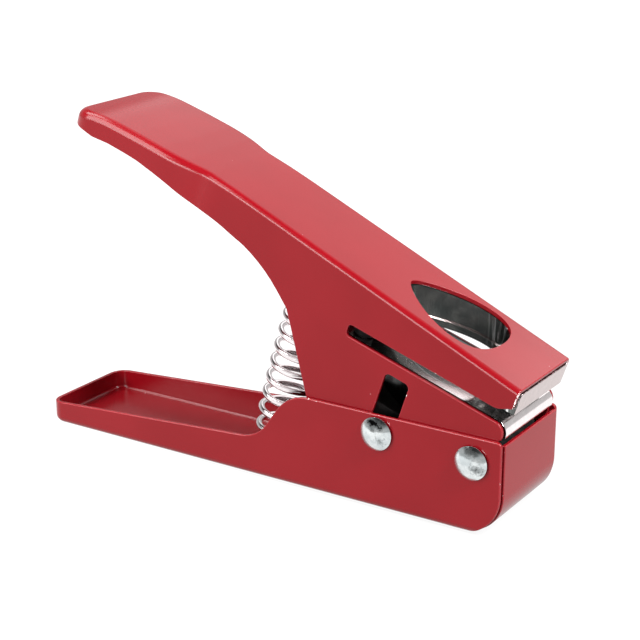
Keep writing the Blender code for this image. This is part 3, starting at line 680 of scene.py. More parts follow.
def spring_line():
    """Points along the wire, and the two ends of the coil's own axis."""
    foot = np.array((0, SHEET + CUP_SHEET + 2 * FIT))
    along = np.array((math.sin(REST_TILT), math.cos(REST_TILT)))
    forward = np.array((math.cos(REST_TILT), -math.sin(REST_TILT)))
    pivot = np.array((PIVOT.x, PIVOT.z))
    head = pivot + forward * SPRING_X + along * (BRACKET_LEVEL - FIT)
    pulls = (foot + np.array((0, SPRING_FOOT_PULL)), head - along * SPRING_HEAD_PULL)
    line = np.array(bezier(foot, *pulls, head, 800) + [tuple(head)])
    at = np.concatenate([[0], np.cumsum(np.hypot(*np.diff(line, axis=0).T))])
    total = at[-1]
    leg = WIRE + SPRING_LEG_BEND
    bend = np.linspace(0, math.pi / 2, 9)
    rise = [(0, 0)]
    for a in bend:
        rise.append((SPRING_LEG_BEND * (1 - math.cos(a)), WIRE + SPRING_LEG_BEND * math.sin(a)))
    heights = np.linspace(leg, total - leg, 800)
    ease = np.clip(np.minimum(heights - leg, total - leg - heights) / SPRING_PITCH, 0, 1)
    pitch = END_PITCH + (SPRING_PITCH - END_PITCH) * ease * ease * (3 - 2 * ease)
    round_by = np.concatenate([[0], np.cumsum(np.diff(heights) / pitch[1:])])
    turns = np.linspace(0, round_by[-1], round(round_by[-1] * CURL_POINTS) + 1)[1:-1]
    girth = 2 * math.pi * SPRING_RADIUS
    wire = list(rise)
    for t, h in zip(turns, np.interp(turns, round_by, heights)):
        wire.append((SPRING_LEG_BEND + t * girth, h))
    end = 2 * SPRING_LEG_BEND + round_by[-1] * girth
    wire += [(end - c, total - h) for c, h in reversed(rise)]
    points = []
    for around, height in wire:
        centre = [np.interp(height, at, line[:, i]) for i in (0, 1)]
        near = [np.interp(height + side * WIRE, at, line[:, i]) for side in (-1, 1) for i in (0, 1)]
        lean = math.atan2(near[2] - near[0], near[3] - near[1])
        angle = SPRING_START + around / SPRING_RADIUS
        out = SPRING_RADIUS * math.cos(angle)
        x, z = centre[0] + out * math.cos(lean), centre[1] - out * math.sin(lean)
        points.append(Vector((x, SPRING_RADIUS * math.sin(angle), z)))
    return points, foot, head


def wire_tube(points, radius, sides=20):
    """A round wire along the points, with eased ends. Each ring is turned as little as can be."""
    bm = bmesh.new()
    rings = []
    up = Vector((0, 0, 1))
    cap = [(0.55, 0.0), (0.85, 0.06), (1.0, 0.2)]
    for i, p in enumerate(points):
        ahead = (points[min(i + 1, len(points) - 1)] - points[max(i - 1, 0)]).normalized()
        side = (up - ahead * up.dot(ahead)).normalized() if i else ahead.orthogonal().normalized()
        up = side
        other = ahead.cross(side)
        places = [(1.0, 0.0)]
        if i == 0:
            places = cap
        elif i == len(points) - 1:
            places = [(r, -d) for r, d in reversed(cap)]
        for share, shift in places:
            ring = []
            for k in range(sides):
                a = 2 * math.pi * k / sides
                out = side * math.cos(a) + other * math.sin(a)
                ring.append(bm.verts.new(p + ahead * shift + out * radius * share))
            rings.append(ring)
    for a, b in zip(rings, rings[1:]):
        for k in range(sides):
            n = (k + 1) % sides
            bm.faces.new((a[k], a[n], b[n], b[k]))
    bm.faces.new(rings[0][::-1])
    bm.faces.new(rings[-1])
    return bm


# Handle


def handle_top():
    """The handle's top edge seen from the side, from the front back."""
    start = (JAW_REACH + OVER, JAW_TOP - OVER * math.tan(TOP_RISE))
    corners = legs(
        start,
        [
            (TOP_LENGTH + OVER / math.cos(TOP_RISE), math.pi - TOP_RISE),
            (GRIP_LENGTH, math.pi + GRIP_DROP),
            (GRIP_LENGTH, math.pi + TAIL_DROP),
        ],
    )
    return rounded([(*p, r) for p, r in zip(corners, (0, CREST_RADIUS, TAIL_RADIUS, 0))])


TOP_LINE = handle_top()[::-1]


def top_height(x):
    """The height of the handle's top at x."""
    return float(np.interp(x, [p[0] for p in TOP_LINE], [p[1] for p in TOP_LINE]))


def eased_step(x, start, end):
    """Rises smoothly from 0 at the start to 1 at the end."""
    t = min(max((x - start) / (end - start), 0), 1)
    return t * t * (3 - 2 * t)


def flare(x):
    """The share of the grip's extra width at x: it sets in along a soft crease and fades out."""
    near = np.clip((FLARE_START - x + np.linspace(-1.5, 1.5, 11)) / (FLARE_START - FLARE_END), 0, 1)
    return float(np.mean(near * (2 - near)))


def handle_bend(x):
    """The outer radius of the bend along the handle's top edges."""
    return FRONT_BEND + (GRIP_BEND - FRONT_BEND) * eased_step(x, BEND_START, BEND_END)


def handle_plan():
    """The handle's near edge in plan, from the front back, with its flare out to the grip."""
    widen = (GRIP_WIDTH - HANDLE_WIDTH) / 2
    start = HANDLE_REAR + GRIP_CORNER
    places = [x for x, z in TOP_LINE if start < x < JAW_REACH + OVER]
    for low, high, count in (
        (FLARE_START + 3, FLARE_END - 3, 28),
        (start + 2, FLARE_END - 4, 10),
        (FOOT_FLARE_START, FLARE_START + 4, 8),
        (FOOT_FLARE_START + 4, JAW_REACH, 14),
    ):
        places += list(np.linspace(low, high, count))
    places = sorted(set(round(x, 3) for x in places), reverse=True)
    found = [(JAW_REACH + OVER, -HANDLE_WIDTH / 2, 0, -1)]
    for x in places:
        slope = widen * (flare(x - 0.05) - flare(x + 0.05)) / 0.1
        size = math.hypot(1, slope)
        found.append((x, -HANDLE_WIDTH / 2 - widen * flare(x), slope / size, -1 / size))
    return found + rear_corner(HANDLE_REAR, GRIP_WIDTH / 2, GRIP_CORNER)


def drawn_in(x):
    """How much nearer the handle's middle a wall's foot stands than the bend over it."""
    ahead = flare(x) - eased_step(x, FOOT_FLARE_START, FOOT_FLARE_END)
    return ahead * (GRIP_WIDTH - HANDLE_WIDTH) / 2


def under_handle():
    """What lies under the side walls' lower edge, round the knuckle and under the jaw's nose."""
    corners = legs(SKIRT, [(BELLY_LENGTH, -BELLY_ANGLE), (THROAT_LENGTH, -THROAT_ANGLE)])
    throat = corners[-1]
    run = (throat[1] + WALL_FOOT) / math.tan(REAR_EDGE_ANGLE)
    nose = FLAP_HEIGHT - PIVOT.z + NOSE_CLEARANCE
    low = -WALL_FOOT - 2 * OVER
    behind = HANDLE_REAR - 3 * OVER
    far_front = jaw_point(KNUCKLE_RADIUS + 4 * OVER, nose)
    outline = [(behind, SKIRT[1], 0), *SKIRT_WAVE]
    outline += [(*p, r) for p, r in zip(corners, (SKIRT_RADIUS, BELLY_RADIUS, THROAT_RADIUS))]
    outline += [(throat[0] + run, -WALL_FOOT, FOOT_RADIUS), (-FOOT_FRONT, -WALL_FOOT, 0)]
    knuckle = arc((0, 0), KNUCKLE_RADIUS, -math.pi / 2 - REST_TILT, REST_TILT)
    outline += [(x, z, 0) for x, z in knuckle]
    outline += [(*jaw_point(KNUCKLE_RADIUS, nose), 0), (*far_front, 0)]
    outline += [(far_front[0], low, 0), (behind, low, 0)]
    return rounded(outline)


def card_slit():
    """The slit with its lead-in, and what lies in front of the two jaws."""
    ahead = JAW_REACH + 3 * OVER
    lip = SLIT_TOP + LEAD_IN_LENGTH * math.tan(LEAD_IN_ANGLE)
    return rounded(
        [
            (SLIT_REAR, SLIT_LEVEL, SLIT_END_RADIUS),
            (NOSE_REACH, SLIT_LEVEL, NOSE_RADIUS),
            (NOSE_REACH, 0, 0),
            (ahead, 0, 0),
            (ahead, ABOVE_JAW, 0),
            (JAW_REACH, ABOVE_JAW, 0),
            (JAW_REACH, lip, 0),
            (JAW_REACH - LEAD_IN_LENGTH, SLIT_TOP, LEAD_IN_RADIUS),
            (SLIT_REAR, SLIT_TOP, SLIT_END_RADIUS),
        ]
    )


def handle_shell():
    """One folded sheet: grip, top and side walls, with the slit, slots and window cut in it."""
    sheet = channel(handle_plan(), top_height, -WALL_FOOT - OVER, handle_bend, drawn_in, FOOT_LEVEL)
    side = GRIP_WIDTH / 2 + OVER
    drive_low = jaw_point(DRIVE.x - PIVOT.x, DRIVE.z - PIVOT.z)[1] - DRIVE_SLEEVE - FIT
    slot = box_outline(SLOT_REAR, SLOT_FRONT, drive_low, SLOT_TOP, SLOT_CORNER)
    tools = [
        prism(under_handle(), -side, side, "y"),
        prism(card_slit(), -side, side, "y"),
        prism(slot, -side, side, "y"),
        turned(cylinder(PIVOT_SLEEVE + FIT, -side, side), "y", (0, 0, 0)),
        prism(pick_outline(WINDOW_MARGIN), SLIT_TOP, ABOVE_JAW, "z"),
    ]
    folded = cut(sheet, tools)
    chipped = folded.faces.layers.float.new("chipped")

    def at_window(p):
        beside = PICK_FRONT - PICK_LENGTH - AROUND < p.x < PICK_FRONT + AROUND
        return beside and abs(p.y) < PICK_WIDTH / 2 + AROUND and p.z > SLIT_TOP + AROUND

    def under_flare(p):
        return FLARE_END - 3 < p.x < FOOT_FLARE_START + 2 and p.z < SKIRT[1] + 1.6

    folded = eased(folded, 0.3, spare=lambda p: at_window(p) or under_flare(p))
    folded = eased(folded, 0.1, 2, spare=lambda p: not at_window(p))
    for f in folded.faces:
        x, y, z = f.calc_center_median()
        at_front = x > JAW_REACH - CHIPS_DEPTH and CHIPS_LOW < z < CHIPS_HIGH
        f[chipped] = float(at_front and abs(y) > PLATE_HALF)
    return folded


def plate_bores(low, high):
    """Cutters for the two screws that hold the plate under the die."""
    bore = cylinder(SCREW_RADIUS + FIT, low, high)
    x, y = SPACER_PLACE
    return [turned(bore, "z", (x, side * y, 0)) for side in (-1, 1)]


def upper_die():
    """The wedge-shaped die, flat below and following the handle's top above.

    A bright ledge runs round the window's wall, which stands further back above it."""
    under_skin = SHEET / math.cos(TOP_RISE) + FIT
    outline = [
        (PLATE_REAR, DIE_FOOT),
        (DIE_REACH, DIE_FOOT),
        (DIE_REACH, top_height(DIE_REACH) - under_skin),
        (PLATE_REAR, top_height(PLATE_REAR) - under_skin),
    ]
    body = prism(outline, -PLATE_HALF, PLATE_HALF, "y")
    ridges = [
        e
        for e in body.edges
        if all(v.co.z > DIE_FOOT + 1 for v in e.verts) and e.verts[0].co.y == e.verts[1].co.y
    ]
    bmesh.ops.bevel(body, geom=ridges, offset=DIE_CHAMFER, segments=1, affect="EDGES")
    ledge = DIE_FOOT + LEDGE_LEVEL
    tools = [
        prism(pick_outline(0), DIE_FOOT - OVER, ABOVE_JAW, "z"),
        prism(pick_outline(LEDGE_WIDTH), ledge, ABOVE_JAW, "z"),
    ]
    tools += plate_bores(DIE_FOOT - OVER, DIE_FOOT + SCREW_BITE + FIT)
    die = ground(eased(cut(body, tools), 0.12, 2), x=DIE_REACH - 0.2)
    bright = die.faces.layers.float["ground"]
    for f in die.faces:
        if f.normal.z > 0.2 and abs(f.calc_center_median().z - ledge) < 0.2:
            f[bright] = 1.0
    return die


def guide_plate():
    """The plate under the slit that the punch slides through, with a rounded nose."""
    low = SLIT_LEVEL - PLATE_THICKNESS
    outline = rounded(
        [
            (PLATE_REAR, low, 0),
            (PLATE_REACH, low, 0),
            (PLATE_REACH, SLIT_LEVEL, PLATE_NOSE),
            (PLATE_REAR, SLIT_LEVEL, 0),
        ]
    )
    plate = prism(outline, -PLATE_HALF, PLATE_HALF, "y")
    tools = [prism(pick_outline(0), low - OVER, SLIT_LEVEL + OVER, "z")]
    tools += plate_bores(low - OVER, SLIT_LEVEL + OVER)
    return ground(eased(cut(plate, tools), 0.08, 2), x=1.5, z=SLIT_LEVEL - 0.05)


def screw(place, seat, tip):
    """A pan-head screw driven upwards, with a cross recess in its head."""
    low = seat - FIT
    base = low - SCREW_HEAD_HEIGHT
    profile = [(0, base), (SCREW_HEAD_RADIUS * 0.55, base), (SCREW_HEAD_RADIUS * 0.85, base + 0.25)]
    profile += [(SCREW_HEAD_RADIUS, base + 0.8), (SCREW_HEAD_RADIUS, low), (SCREW_RADIUS, low)]
    thread = low + 0.6
    while thread + THREAD_PITCH < tip:
        profile.append((SCREW_RADIUS - THREAD_DEPTH, thread))
        profile.append((SCREW_RADIUS, thread + THREAD_PITCH / 2))
        thread += THREAD_PITCH
    profile += [(SCREW_RADIUS - 0.3, tip), (0, tip)]
    body = turned(profile, "z", place, 40)
    tools = []
    x, y = place[:2]
    for long, wide in ((1.5, 0.35), (0.35, 1.5)):
        bar = box_outline(x - long, x + long, y - wide, y + wide)
        tools.append(prism(bar, base - 1, base + 0.9, "z"))
    return cut(body, tools)


def spring_bracket():
    """The bracket between the handle's walls, with a pressed pilot for the head of the spring."""
    outside = CHANNEL_HALF - FIT
    inside = outside - BRACKET_SHEET
    floor_top = BRACKET_LEVEL + BRACKET_SHEET
    top = floor_top + BRACKET_FLANGE
    far = [
        (outside, BRACKET_LEVEL, 2.0),
        (outside, top, 0),
        (inside, top, 0),
        (inside, floor_top, 0.5),
    ]
    outline = rounded(far + [(-y, z, radius) for y, z, radius in reversed(far)])
    rear = SPRING_X - BRACKET_LENGTH / 2
    centre = (SPRING_X, 0, BRACKET_LEVEL)
    inner = PILOT_RADIUS - CUP_SHEET
    pilot = turned(cylinder(PILOT_RADIUS, -PILOT_HEIGHT, CUP_SHEET), "z", centre)
    recess = turned(cylinder(inner, CUP_SHEET - PILOT_HEIGHT, BRACKET_SHEET + OVER), "z", centre)
    bracket = prism(outline, rear, rear + BRACKET_LENGTH, "x")
    return eased(carved(bracket, [(pilot, "UNION"), (recess, "DIFFERENCE")]), 0.2, 2)


# Punch

DRIVE_REST = jaw_point(DRIVE.x - PIVOT.x, DRIVE.z - PIVOT.z)
DRIVE_MIDDLE = (DRIVE_REST[0] + DRIVE.x - PIVOT.x) / 2
DRIVE_DRIFT = abs(DRIVE_REST[0] - DRIVE.x + PIVOT.x)
CARRIER_FOOT = DRIVE_REST[1] - DRIVE_SLEEVE - FIT - CARRIER_FLOOR


def carrier_bores(low, high):
    """Cutters for the two screws that hold the blade on its carrier."""
    bore = cylinder(SCREW_RADIUS + FIT, low, high)
    away = (-CARRIER_SCREWS, CARRIER_SCREWS)
    return [turned(bore, "z", (DRIVE_MIDDLE + x, 0, 0)) for x in away]


def punch_blade():
    """The pick-shaped blade, whose top lies just under the slit at rest."""
    blade = prism(pick_outline(-FIT), BLADE_FOOT, BLADE_TOP, "z")
    blade = cut(blade, carrier_bores(BLADE_FOOT - OVER, BLADE_FOOT + SCREW_BITE + FIT))
    return ground(eased(blade, 0.1, 2), z=BLADE_TOP - 0.2)


def punch_carrier():
    """The block under the blade, with the cross slot that the drive sleeve runs in."""
    rear = DRIVE_MIDDLE - CARRIER_LENGTH / 2
    outline = box_outline(rear, rear + CARRIER_LENGTH, CARRIER_FOOT, BLADE_FOOT - FIT, 1.0)
    carrier = prism(outline, -CARRIER_WIDTH / 2, CARRIER_WIDTH / 2, "y")
    reach = DRIVE_SLEEVE + FIT
    slot = box_outline(
        DRIVE_MIDDLE - DRIVE_DRIFT / 2 - reach,
        DRIVE_MIDDLE + DRIVE_DRIFT / 2 + reach,
        DRIVE_REST[1] - reach,
        DRIVE_REST[1] + reach,
        DRIVE_SLEEVE,
    )
    side = CARRIER_WIDTH / 2 + OVER
    tools = [prism(slot, -side, side, "y")]
    tools += carrier_bores(CARRIER_FOOT - OVER, BLADE_FOOT + OVER)
    return eased(cut(carrier, tools), 0.2, 2)


# Materials

BLACK = (0.004, 0.004, 0.004)


class Nodes:
    """A material's node tree, with short ways to add and join nodes."""

    def __init__(self, name):
        self.material = bpy.data.materials.new(name)
        self.material.use_nodes = True
        self.tree = self.material.node_tree
        self.shader = self.tree.nodes["Principled BSDF"]
        self.place = self.tree.nodes.new("ShaderNodeTexCoord").outputs["Object"]

    def add(self, kind, inputs, **settings):
        """A node with these settings. The inputs name sockets by identifier."""
        node = self.tree.nodes.new("ShaderNode" + kind)
        for key, value in settings.items():
            setattr(node, key, value)
        for name, value in inputs.items():
            self.put(value, next(s for s in node.inputs if s.identifier == name))
        return node

    def put(self, value, socket):
        if isinstance(value, bpy.types.NodeSocket):
            self.tree.links.new(value, socket)
        else:
            socket.default_value = value

    def attribute(self, name):
        return self.add("Attribute", {}, attribute_name=name).outputs["Fac"]

    def along(self):
        """The x and the y of a place on the object, in metres."""
        parts = self.add("SeparateXYZ", {"Vector": self.place})
        return parts.outputs[0], parts.outputs[1]

    def stretched(self, scale):
        return self.add("Mapping", {"Vector": self.place, "Scale": scale}).outputs["Vector"]

    def noise(self, scale, detail=3.0, roughness=0.5, vector=None):
        inputs = {"Scale": scale, "Detail": detail, "Roughness": roughness}
        return self.add("TexNoise", {"Vector": vector or self.place, **inputs}).outputs["Fac"]

    def cells(self, scale, feature="F1", vector=None):
        inputs = {"Vector": vector or self.place, "Scale": scale}
        return self.add("TexVoronoi", inputs, feature=feature)

    def ramp(self, value, low, high, start=0.0, end=1.0):
        inputs = {"Value": value, "From Min": low, "From Max": high, "To Min": start, "To Max": end}
        return self.add("MapRange", inputs, interpolation_type="SMOOTHSTEP").outputs["Result"]

    def math(self, operation, a, b=0.0):
        inputs = {"Value": a, "Value_001": b}
        return self.add("Math", inputs, operation=operation).outputs["Value"]

    def times(self, a, b):
        return self.math("MULTIPLY", a, b)

    def between(self, share, a, b, kind, data_type):
        inputs = {"Factor_Float": share, "A_" + kind: a, "B_" + kind: b}
        node = self.add("Mix", inputs, data_type=data_type)
        return next(s for s in node.outputs if s.identifier == "Result_" + kind)

    def mix(self, share, *colours):
        a, b = (c if isinstance(c, bpy.types.NodeSocket) else (*c, 1) for c in colours)
        return self.between(share, a, b, "Color", "RGBA")

    def blend(self, share, a, b):
        return self.between(share, a, b, "Float", "FLOAT")

    def bump(self, height, strength, distance, normal=None):
        inputs = {"Height": height, "Strength": strength, "Distance": distance}
        if normal is not None:
            inputs["Normal"] = normal
        return self.add("Bump", inputs).outputs["Normal"]

    def finish(self, **values):
        for name, value in values.items():
            self.put(value, self.shader.inputs[name.replace("_", " ")])
        return self.material


def red_powder():
    """Satin red powder coat: fine orange peel, dust specks, a faint painted highlight on every edge, and
    bright chips along worn edges.
    """
    n = Nodes("red_powder_coat")
    tone = n.ramp(n.noise(38.0, 2.0), 0.3, 0.7)
    red = n.mix(tone, (0.138, 0.0016, 0.0040), (0.151, 0.0022, 0.0050))
    cell = n.cells(330.0)
    chance = n.add("SeparateColor", {"Color": cell.outputs["Color"]}).outputs[0]
    rare = n.math("GREATER_THAN", chance, 0.976)
    small = n.ramp(cell.outputs["Distance"], 0.0, 0.09, 1.0, 0.0)
    red = n.mix(n.times(n.times(rare, small), 0.75), red, (0.78, 0.62, 0.62))
    edge = n.attribute("edge")
    worn = n.times(edge, n.ramp(n.noise(420.0, 4.0, 0.65), 0.66, 0.7))
    # Every edge face is lightened a little: a painted highlight where the edges catch the light.
    colour = n.mix(n.times(edge, 0.08), red, (0.62, 0.10, 0.12))
    colour = n.mix(worn, colour, (0.72, 0.66, 0.65))
    chips = n.attribute("chipped")
    grain = n.noise(1500.0, 3.0, 0.6)
    colour = n.mix(n.times(chips, n.ramp(grain, 0.47, 0.52)), colour, (0.85, 0.80, 0.79))
    colour = n.mix(n.times(chips, n.ramp(grain, 0.44, 0.41)), colour, (0.01, 0.01, 0.01))
    rough = n.blend(n.noise(90.0, 3.0), 0.20, 0.24)
    peel = n.bump(n.noise(1500.0, 2.0, 0.6), 0.08, 0.00004)
    return n.finish(Base_Color=colour, Roughness=rough, Specular_IOR_Level=0.26, Normal=peel)


def rivet_zinc():
    """Bright zinc with a soft mottle, turned grey and black where dark reflections are painted on the heads,
    with a fine mottle mixed in.
    """
    n = Nodes("zinc_rivet")
    cloud = n.noise(300.0, 3.0, 0.55)
    colour = n.mix(n.ramp(cloud, 0.35, 0.65), (0.60, 0.65, 0.66), (0.80, 0.84, 0.84))
    fine = n.times(n.math("SUBTRACT", n.noise(900.0, 4.0, 0.65), 0.5), 1.4)
    # The painted dark reflections, with a fine mottle added.
    painted_reflection_and_mottle = n.math("ADD", n.attribute("stain_and_painted_reflection"), fine)
    grey = n.ramp(painted_reflection_and_mottle, 0.15, 0.62, 0.0, 0.72)
    black = n.ramp(painted_reflection_and_mottle, 0.62, 0.74)
    colour = n.mix(grey, colour, (0.10, 0.11, 0.11))
    colour = n.mix(black, colour, BLACK)
    gloss = n.blend(black, n.blend(grey, 0.16, 0.4), 0.85)
    normal = n.bump(n.noise(1300.0, 3.0, 0.6), 0.15, 0.00005)
    return n.finish(Base_Color=colour, Metallic=1.0, Roughness=gloss, Normal=normal)


def die_steel(name, low, high, bright, shade_far_half=False, streaks=()):
    """Hardened steel: a dark brushed skin with edges painted black as shade, and bright where it is ground.

    With shade_far_half, only the nose and the near half are bright: the far half keeps the dark skin as
    painted shade. Streaks of polish set in over the two x of streaks."""
    n = Nodes(name)
    skin = n.mix(n.ramp(n.noise(260.0, 4.0, 0.6), 0.3, 0.7), low, high)
    brushed = n.noise(1500.0, 4.0, 0.7, n.stretched((1.0, 1.0, 0.06)))
    skin = n.mix(n.ramp(brushed, 0.5, 0.72, 0.0, 0.35), skin, tuple(2.2 * v for v in high))
    pits = n.ramp(n.noise(1100.0, 4.0, 0.7), 0.66, 0.72, 0.0, 0.8)
    skin = n.mix(pits, skin, (0.008, 0.008, 0.008))
    # Edge faces are painted black: painted shade standing in for the dark gaps beside the die and plate.
    skin = n.mix(n.times(n.attribute("edge"), 0.92), skin, BLACK)
    cloud = n.ramp(n.noise(500.0, 3.0, 0.6), 0.3, 0.7)
    shine = n.mix(cloud, tuple(0.92 * v for v in bright), bright)
    share = n.attribute("ground")
    x, y = n.along()
    if streaks:
        lines = n.noise(800.0, 3.0, 0.6, n.stretched((1.0, 1.0, 0.04)))
        polish = n.times(n.ramp(lines, 0.52, 0.60), n.ramp(x, *streaks))
        skin = n.mix(polish, skin, (0.9, 0.9, 0.9))
    # The plate's far half is left dark as painted shade under the die.
    if shade_far_half:
        nose, near = n.ramp(x, 0.0785, 0.0795), n.ramp(y, 0.004, -0.001)
        share = n.times(share, n.math("MAXIMUM", nose, near))
    colour = n.mix(share, skin, shine)
    gloss = n.blend(share, n.blend(n.noise(420.0, 4.0, 0.6), 0.16, 0.26), 0.17)
    normal = n.bump(brushed, 0.2, 0.00006)
    return n.finish(Base_Color=colour, Metallic=1.0, Roughness=gloss, Normal=normal)


def black_oxide():
    """Blackened steel, dull and rough."""
    n = Nodes("black_oxide")
    cloud = n.ramp(n.noise(600.0, 4.0, 0.6), 0.35, 0.7)
    colour = n.mix(cloud, (0.006, 0.006, 0.006), (0.016, 0.015, 0.014))
    gloss = n.blend(n.noise(420.0, 4.0, 0.6), 0.5, 0.7)
    normal = n.bump(n.noise(1400.0), 0.2, 0.00005)
    return n.finish(Base_Color=colour, Roughness=gloss, Specular_IOR_Level=0.25, Normal=normal)


def steel(name, low, high, rough, grain, scratches=0.0, stain_and_painted_reflection=0.0):
    """A bare metal: tone and gloss that vary over it, a fine grain, faint scratches, dull spots."""
    n = Nodes(name)
    tone = n.ramp(n.noise(160.0, 4.0, 0.6), 0.3, 0.7)
    colour = n.mix(tone, low, high)
    if stain_and_painted_reflection:
        dark = n.times(n.ramp(n.noise(620.0, 5.0, 0.7), 0.45, 0.75), stain_and_painted_reflection)
        colour = n.mix(dark, colour, tuple(v * 0.25 for v in low))
    gloss = n.blend(n.noise(420.0, 4.0, 0.6), rough * 0.8, rough * 1.3)
    normal = n.bump(n.noise(900.0, 5.0, 0.7), grain, 0.00008)
    if scratches:
        marks = n.cells(260.0, "DISTANCE_TO_EDGE", n.stretched((0.25, 1.0, 1.0)))
        thin = n.ramp(marks.outputs["Distance"], 0.0, 0.02, 1.0, 0.0)
        normal = n.bump(thin, scratches, 0.00005, normal)
    return n.finish(Base_Color=colour, Metallic=1.0, Roughness=gloss, Normal=normal)


RED = red_powder()
ZINC = rivet_zinc()
SCREW_ZINC = steel("zinc_screw", (0.55, 0.58, 0.6), (0.74, 0.76, 0.77), 0.3, 0.15)
PRESSED = steel("zinc_pressing", (0.55, 0.58, 0.6), (0.72, 0.74, 0.75), 0.34, 0.2, stain_and_painted_reflection=0.25)
# The wire's pink tint is a painted reflection of the red handle round it.
SPRING = steel("spring_wire", (0.82, 0.755, 0.765), (0.92, 0.86, 0.865), 0.13, 0.1, 0.05)
# The die's and the plate's skin colours are dark steel made darker still: painted shade and dark reflections
# inside the window and the slit.
GROUND = die_steel(
    "die_steel",
    (0.080, 0.092, 0.088),
    (0.15, 0.155, 0.148),
    # The pink tint is a painted reflection of the red body.
    (0.58, 0.485, 0.475),
    streaks=(0.060, 0.066),
)
POLISHED = die_steel(
    "plate_steel",
    (0.020, 0.026, 0.024),
    (0.06, 0.066, 0.062),
    # The pink tint is a painted reflection of the red body.
    (0.99, 0.92, 0.92),
    shade_far_half=True,
)
BLADE = die_steel("blade_steel", (0.020, 0.022, 0.021), (0.06, 0.06, 0.06), (0.86, 0.85, 0.85))
DARK = black_oxide()


# Assembly

dress("base_shell", base_shell(), "base", RED, "base_tray")
for name, pin in (
    ("pivot", rivet(PIVOT, PIVOT_SHANK, PIVOT_SEED, PIVOT_PAINTED_REFLECTIONS)),
    ("drive", rivet(DRIVE, DRIVE_SHANK, DRIVE_SEED, DRIVE_PAINTED_REFLECTIONS)),
):
    dress("rivet_at_" + name, pin, "base", ZINC, name + "_rivet")
for name, ring in (
    ("pivot", sleeve(PIVOT, PIVOT_SHANK, PIVOT_SLEEVE)),
    ("drive", sleeve(DRIVE, DRIVE_SHANK, DRIVE_SLEEVE)),
):
    dress("sleeve_at_" + name, ring, "base", DARK, name + "_sleeve")
dress("spring_seat", spring_cup(), "base", PRESSED, "lower_spring_cup")
wire_points, spring_foot, spring_head = spring_line()
wire = wire_tube(wire_points, WIRE / 2)
coil = dress("coil_spring", wire, "", SPRING, "return_spring")
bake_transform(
    coil,
    "base",
    "handle",
    start=(spring_foot[0] * MM, 0, spring_foot[1] * MM),
    end=(spring_head[0] * MM, 0, spring_head[1] * MM),
)

dress("handle_shell", handle_shell(), "handle", RED, "handle_lever", JAW)
dress("die_block", upper_die(), "handle", GROUND, "upper_die", JAW)
dress("plate_under_slit", guide_plate(), "handle", POLISHED, "guide_plate", JAW)
spacer = tube(SCREW_RADIUS + FIT, SPACER_RADIUS, SLIT_LEVEL + FIT, DIE_FOOT - FIT)
for side, name in ((-1, "near"), (1, "far")):
    spot = (SPACER_PLACE[0], side * SPACER_PLACE[1], 0)
    ring = eased(turned(spacer, "z", spot), 0.2, 2)
    dress("spacer_" + name, ring, "handle", DARK, "die_spacer_" + name, JAW)
    pin = screw(spot, SLIT_LEVEL - PLATE_THICKNESS, DIE_FOOT + SCREW_BITE)
    dress("plate_screw_" + name, pin, "handle", SCREW_ZINC, "die_screw_" + name, JAW)
seat = spring_bracket()
dress("bracket_over_spring", seat, "handle", PRESSED, "upper_spring_bracket", JAW)

dress("pick_blade", punch_blade(), "punch", BLADE, "punch_blade", JAW)
dress("carrier_block", punch_carrier(), "punch", DARK, "punch_carrier", JAW)
for side, name in ((1, "front"), (-1, "rear")):
    spot = (DRIVE_MIDDLE + side * CARRIER_SCREWS, 0, 0)
    pin = screw(spot, CARRIER_FOOT, BLADE_FOOT + SCREW_BITE)
    node = "carrier_screw_" + name
    dress("blade_screw_" + name, pin, "punch", SCREW_ZINC, node, JAW)


# Studio

CAMERA_PLACE = Vector((0.2632, -0.3901, 0.2048))
AZIMUTH = math.radians(32.81)
ELEVATION = math.radians(18.77)
ROLL = math.radians(-0.08)
FOCAL_LENGTH = 91.98
LIT_POINT = Vector((0.01, 0, 0.045))
FLOOR_GLOW = 0.95
CEILING = (0.30, 0.66, 0.54, 0.02)
KEY = 63.0
BACK = 11.6
REAR = 12.0
FRONT = 8.3
STRIP = 3.9
BROW = 0.6
TENT = 2.1


def camera():
    """The photograph's camera."""
    data = bpy.data.cameras.new("camera")
    data.sensor_width = 36.0
    data.lens = FOCAL_LENGTH
    data.clip_start = 0.01
    data.clip_end = 50.0
    level = math.cos(ELEVATION)
    back = Vector((math.sin(AZIMUTH) * level, -math.cos(AZIMUTH) * level, math.sin(ELEVATION)))
    right = Vector((0, 0, 1)).cross(back).normalized()
    up = back.cross(right)
    turned_right = right * math.cos(ROLL) + up * math.sin(ROLL)
    turned_up = up * math.cos(ROLL) - right * math.sin(ROLL)
    turn = Matrix((turned_right, turned_up, back)).transposed()
    obj = linked("camera", data)
    obj.matrix_world = Matrix.Translation(CAMERA_PLACE) @ turn.to_4x4()
    bpy.context.scene.camera = obj


def softbox(name, direction, distance, size, power, only=()):
    """An area light on the object from this direction, or only on the pieces that only names."""
    data = bpy.data.lights.new(name, "AREA")
    data.shape = "RECTANGLE"
    data.size, data.size_y = size
    data.energy = power
    away = Vector(direction).normalized()
    turn = away.to_track_quat("Z", "Y").to_matrix().to_4x4()
    obj = linked(name, data)
    obj.matrix_world = Matrix.Translation(LIT_POINT + away * distance) @ turn
    obj.visible_camera = False
    if only:
        lit = bpy.data.collections.new(name + "_lights")
        for piece in only:
            lit.objects.link(bpy.data.objects[piece])
        obj.light_linking.receiver_collection = lit


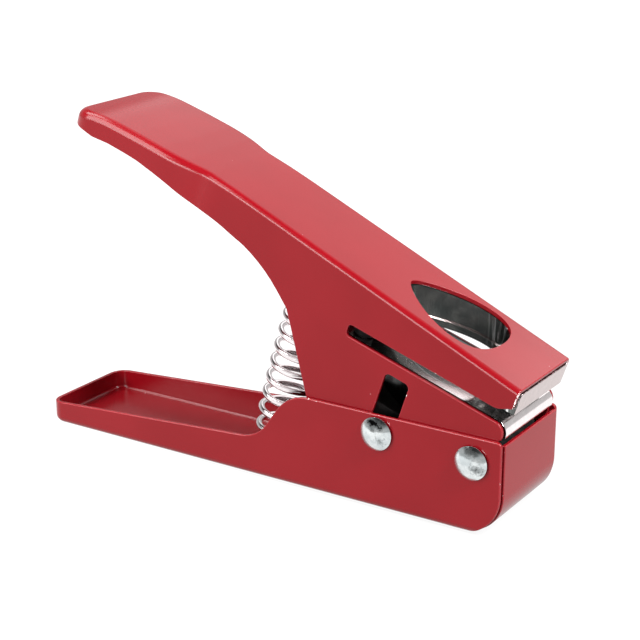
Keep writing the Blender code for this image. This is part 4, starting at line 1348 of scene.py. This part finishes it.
def floor():
    """A plain pale floor, lit from below like a light table, with a painted contact shadow: the glow fades
    under and just round where the object stands.
    """
    n = Nodes("floor")
    x, y = n.along()
    away = 0.0
    for place, half in ((x, BASE_LENGTH / 2), (y, BASE_WIDTH / 2)):
        beyond = n.math("SUBTRACT", n.math("ABSOLUTE", place), half * MM)
        away = n.math("MAXIMUM", away, beyond)
    # Painted contact shadow: the floor's glow drops to a tenth under the object and eases back just outside
    # it.
    glow_outside_painted_shadow = n.ramp(away, -0.008, 0.001, 0.1, 1.0)
    glow = n.ramp(x, -0.15, 0.05, 1.2 * FLOOR_GLOW, FLOOR_GLOW)
    material = n.finish(
        Base_Color=(0.04, 0.04, 0.04, 1),
        Roughness=0.9,
        Specular_IOR_Level=0.1,
        Emission_Color=(1, 1, 1, 1),
        Emission_Strength=n.times(glow_outside_painted_shadow, glow),
    )
    bm = bmesh.new()
    bmesh.ops.create_grid(bm, x_segments=1, y_segments=1, size=6.0)
    obj = place_mesh("floor", bm)
    obj.data.materials.append(material)


def surround():
    """A white sweep up to the horizon and a dark ceiling over it."""
    world = bpy.data.worlds.new("studio")
    bpy.context.scene.world = world
    world.use_nodes = True
    tree = world.node_tree
    background = tree.nodes["Background"]
    place = tree.nodes.new("ShaderNodeTexCoord")
    parts = tree.nodes.new("ShaderNodeSeparateXYZ")
    fade = tree.nodes.new("ShaderNodeMapRange")
    fade.interpolation_type = "SMOOTHSTEP"
    for name, value in zip(("From Min", "From Max", "To Min", "To Max"), CEILING):
        fade.inputs[name].default_value = value
    tree.links.new(place.outputs["Generated"], parts.inputs[0])
    tree.links.new(parts.outputs["Z"], fade.inputs["Value"])
    background.inputs["Color"].default_value = (1, 1, 1, 1)
    tree.links.new(fade.outputs["Result"], background.inputs["Strength"])


def studio():
    """The surround, soft lights, and the plain view the tones were matched in."""
    surround()
    painted = ("base_shell", "handle_shell")
    softbox("key", (0.68, -0.05, 0.73), 1.5, (0.6, 0.6), KEY)
    softbox("back", (-0.06, 0.62, 0.775), 1.6, (1.75, 1.6), BACK)
    softbox("rear", (-0.55, -0.05, 0.83), 1.5, (0.6, 0.6), REAR)
    softbox("front", (-0.50, -0.68, 0.54), 0.75, (0.37, 0.67), FRONT, painted)
    softbox("strip", (-0.18, -0.95, 0.25), 0.71, (0.35, 0.24), STRIP, painted)
    softbox("brow", (0.17, 0.83, 0.53), 1.2, (0.35, 0.3), BROW, painted)
    softbox("tent", (-0.42, -0.62, 0.66), 0.6, (0.9, 0.9), TENT, ("coil_spring",))
    view = bpy.context.scene.view_settings
    view.view_transform = "Standard"
    view.look = "None"
    view.exposure = 0.0


camera()
floor()
studio()
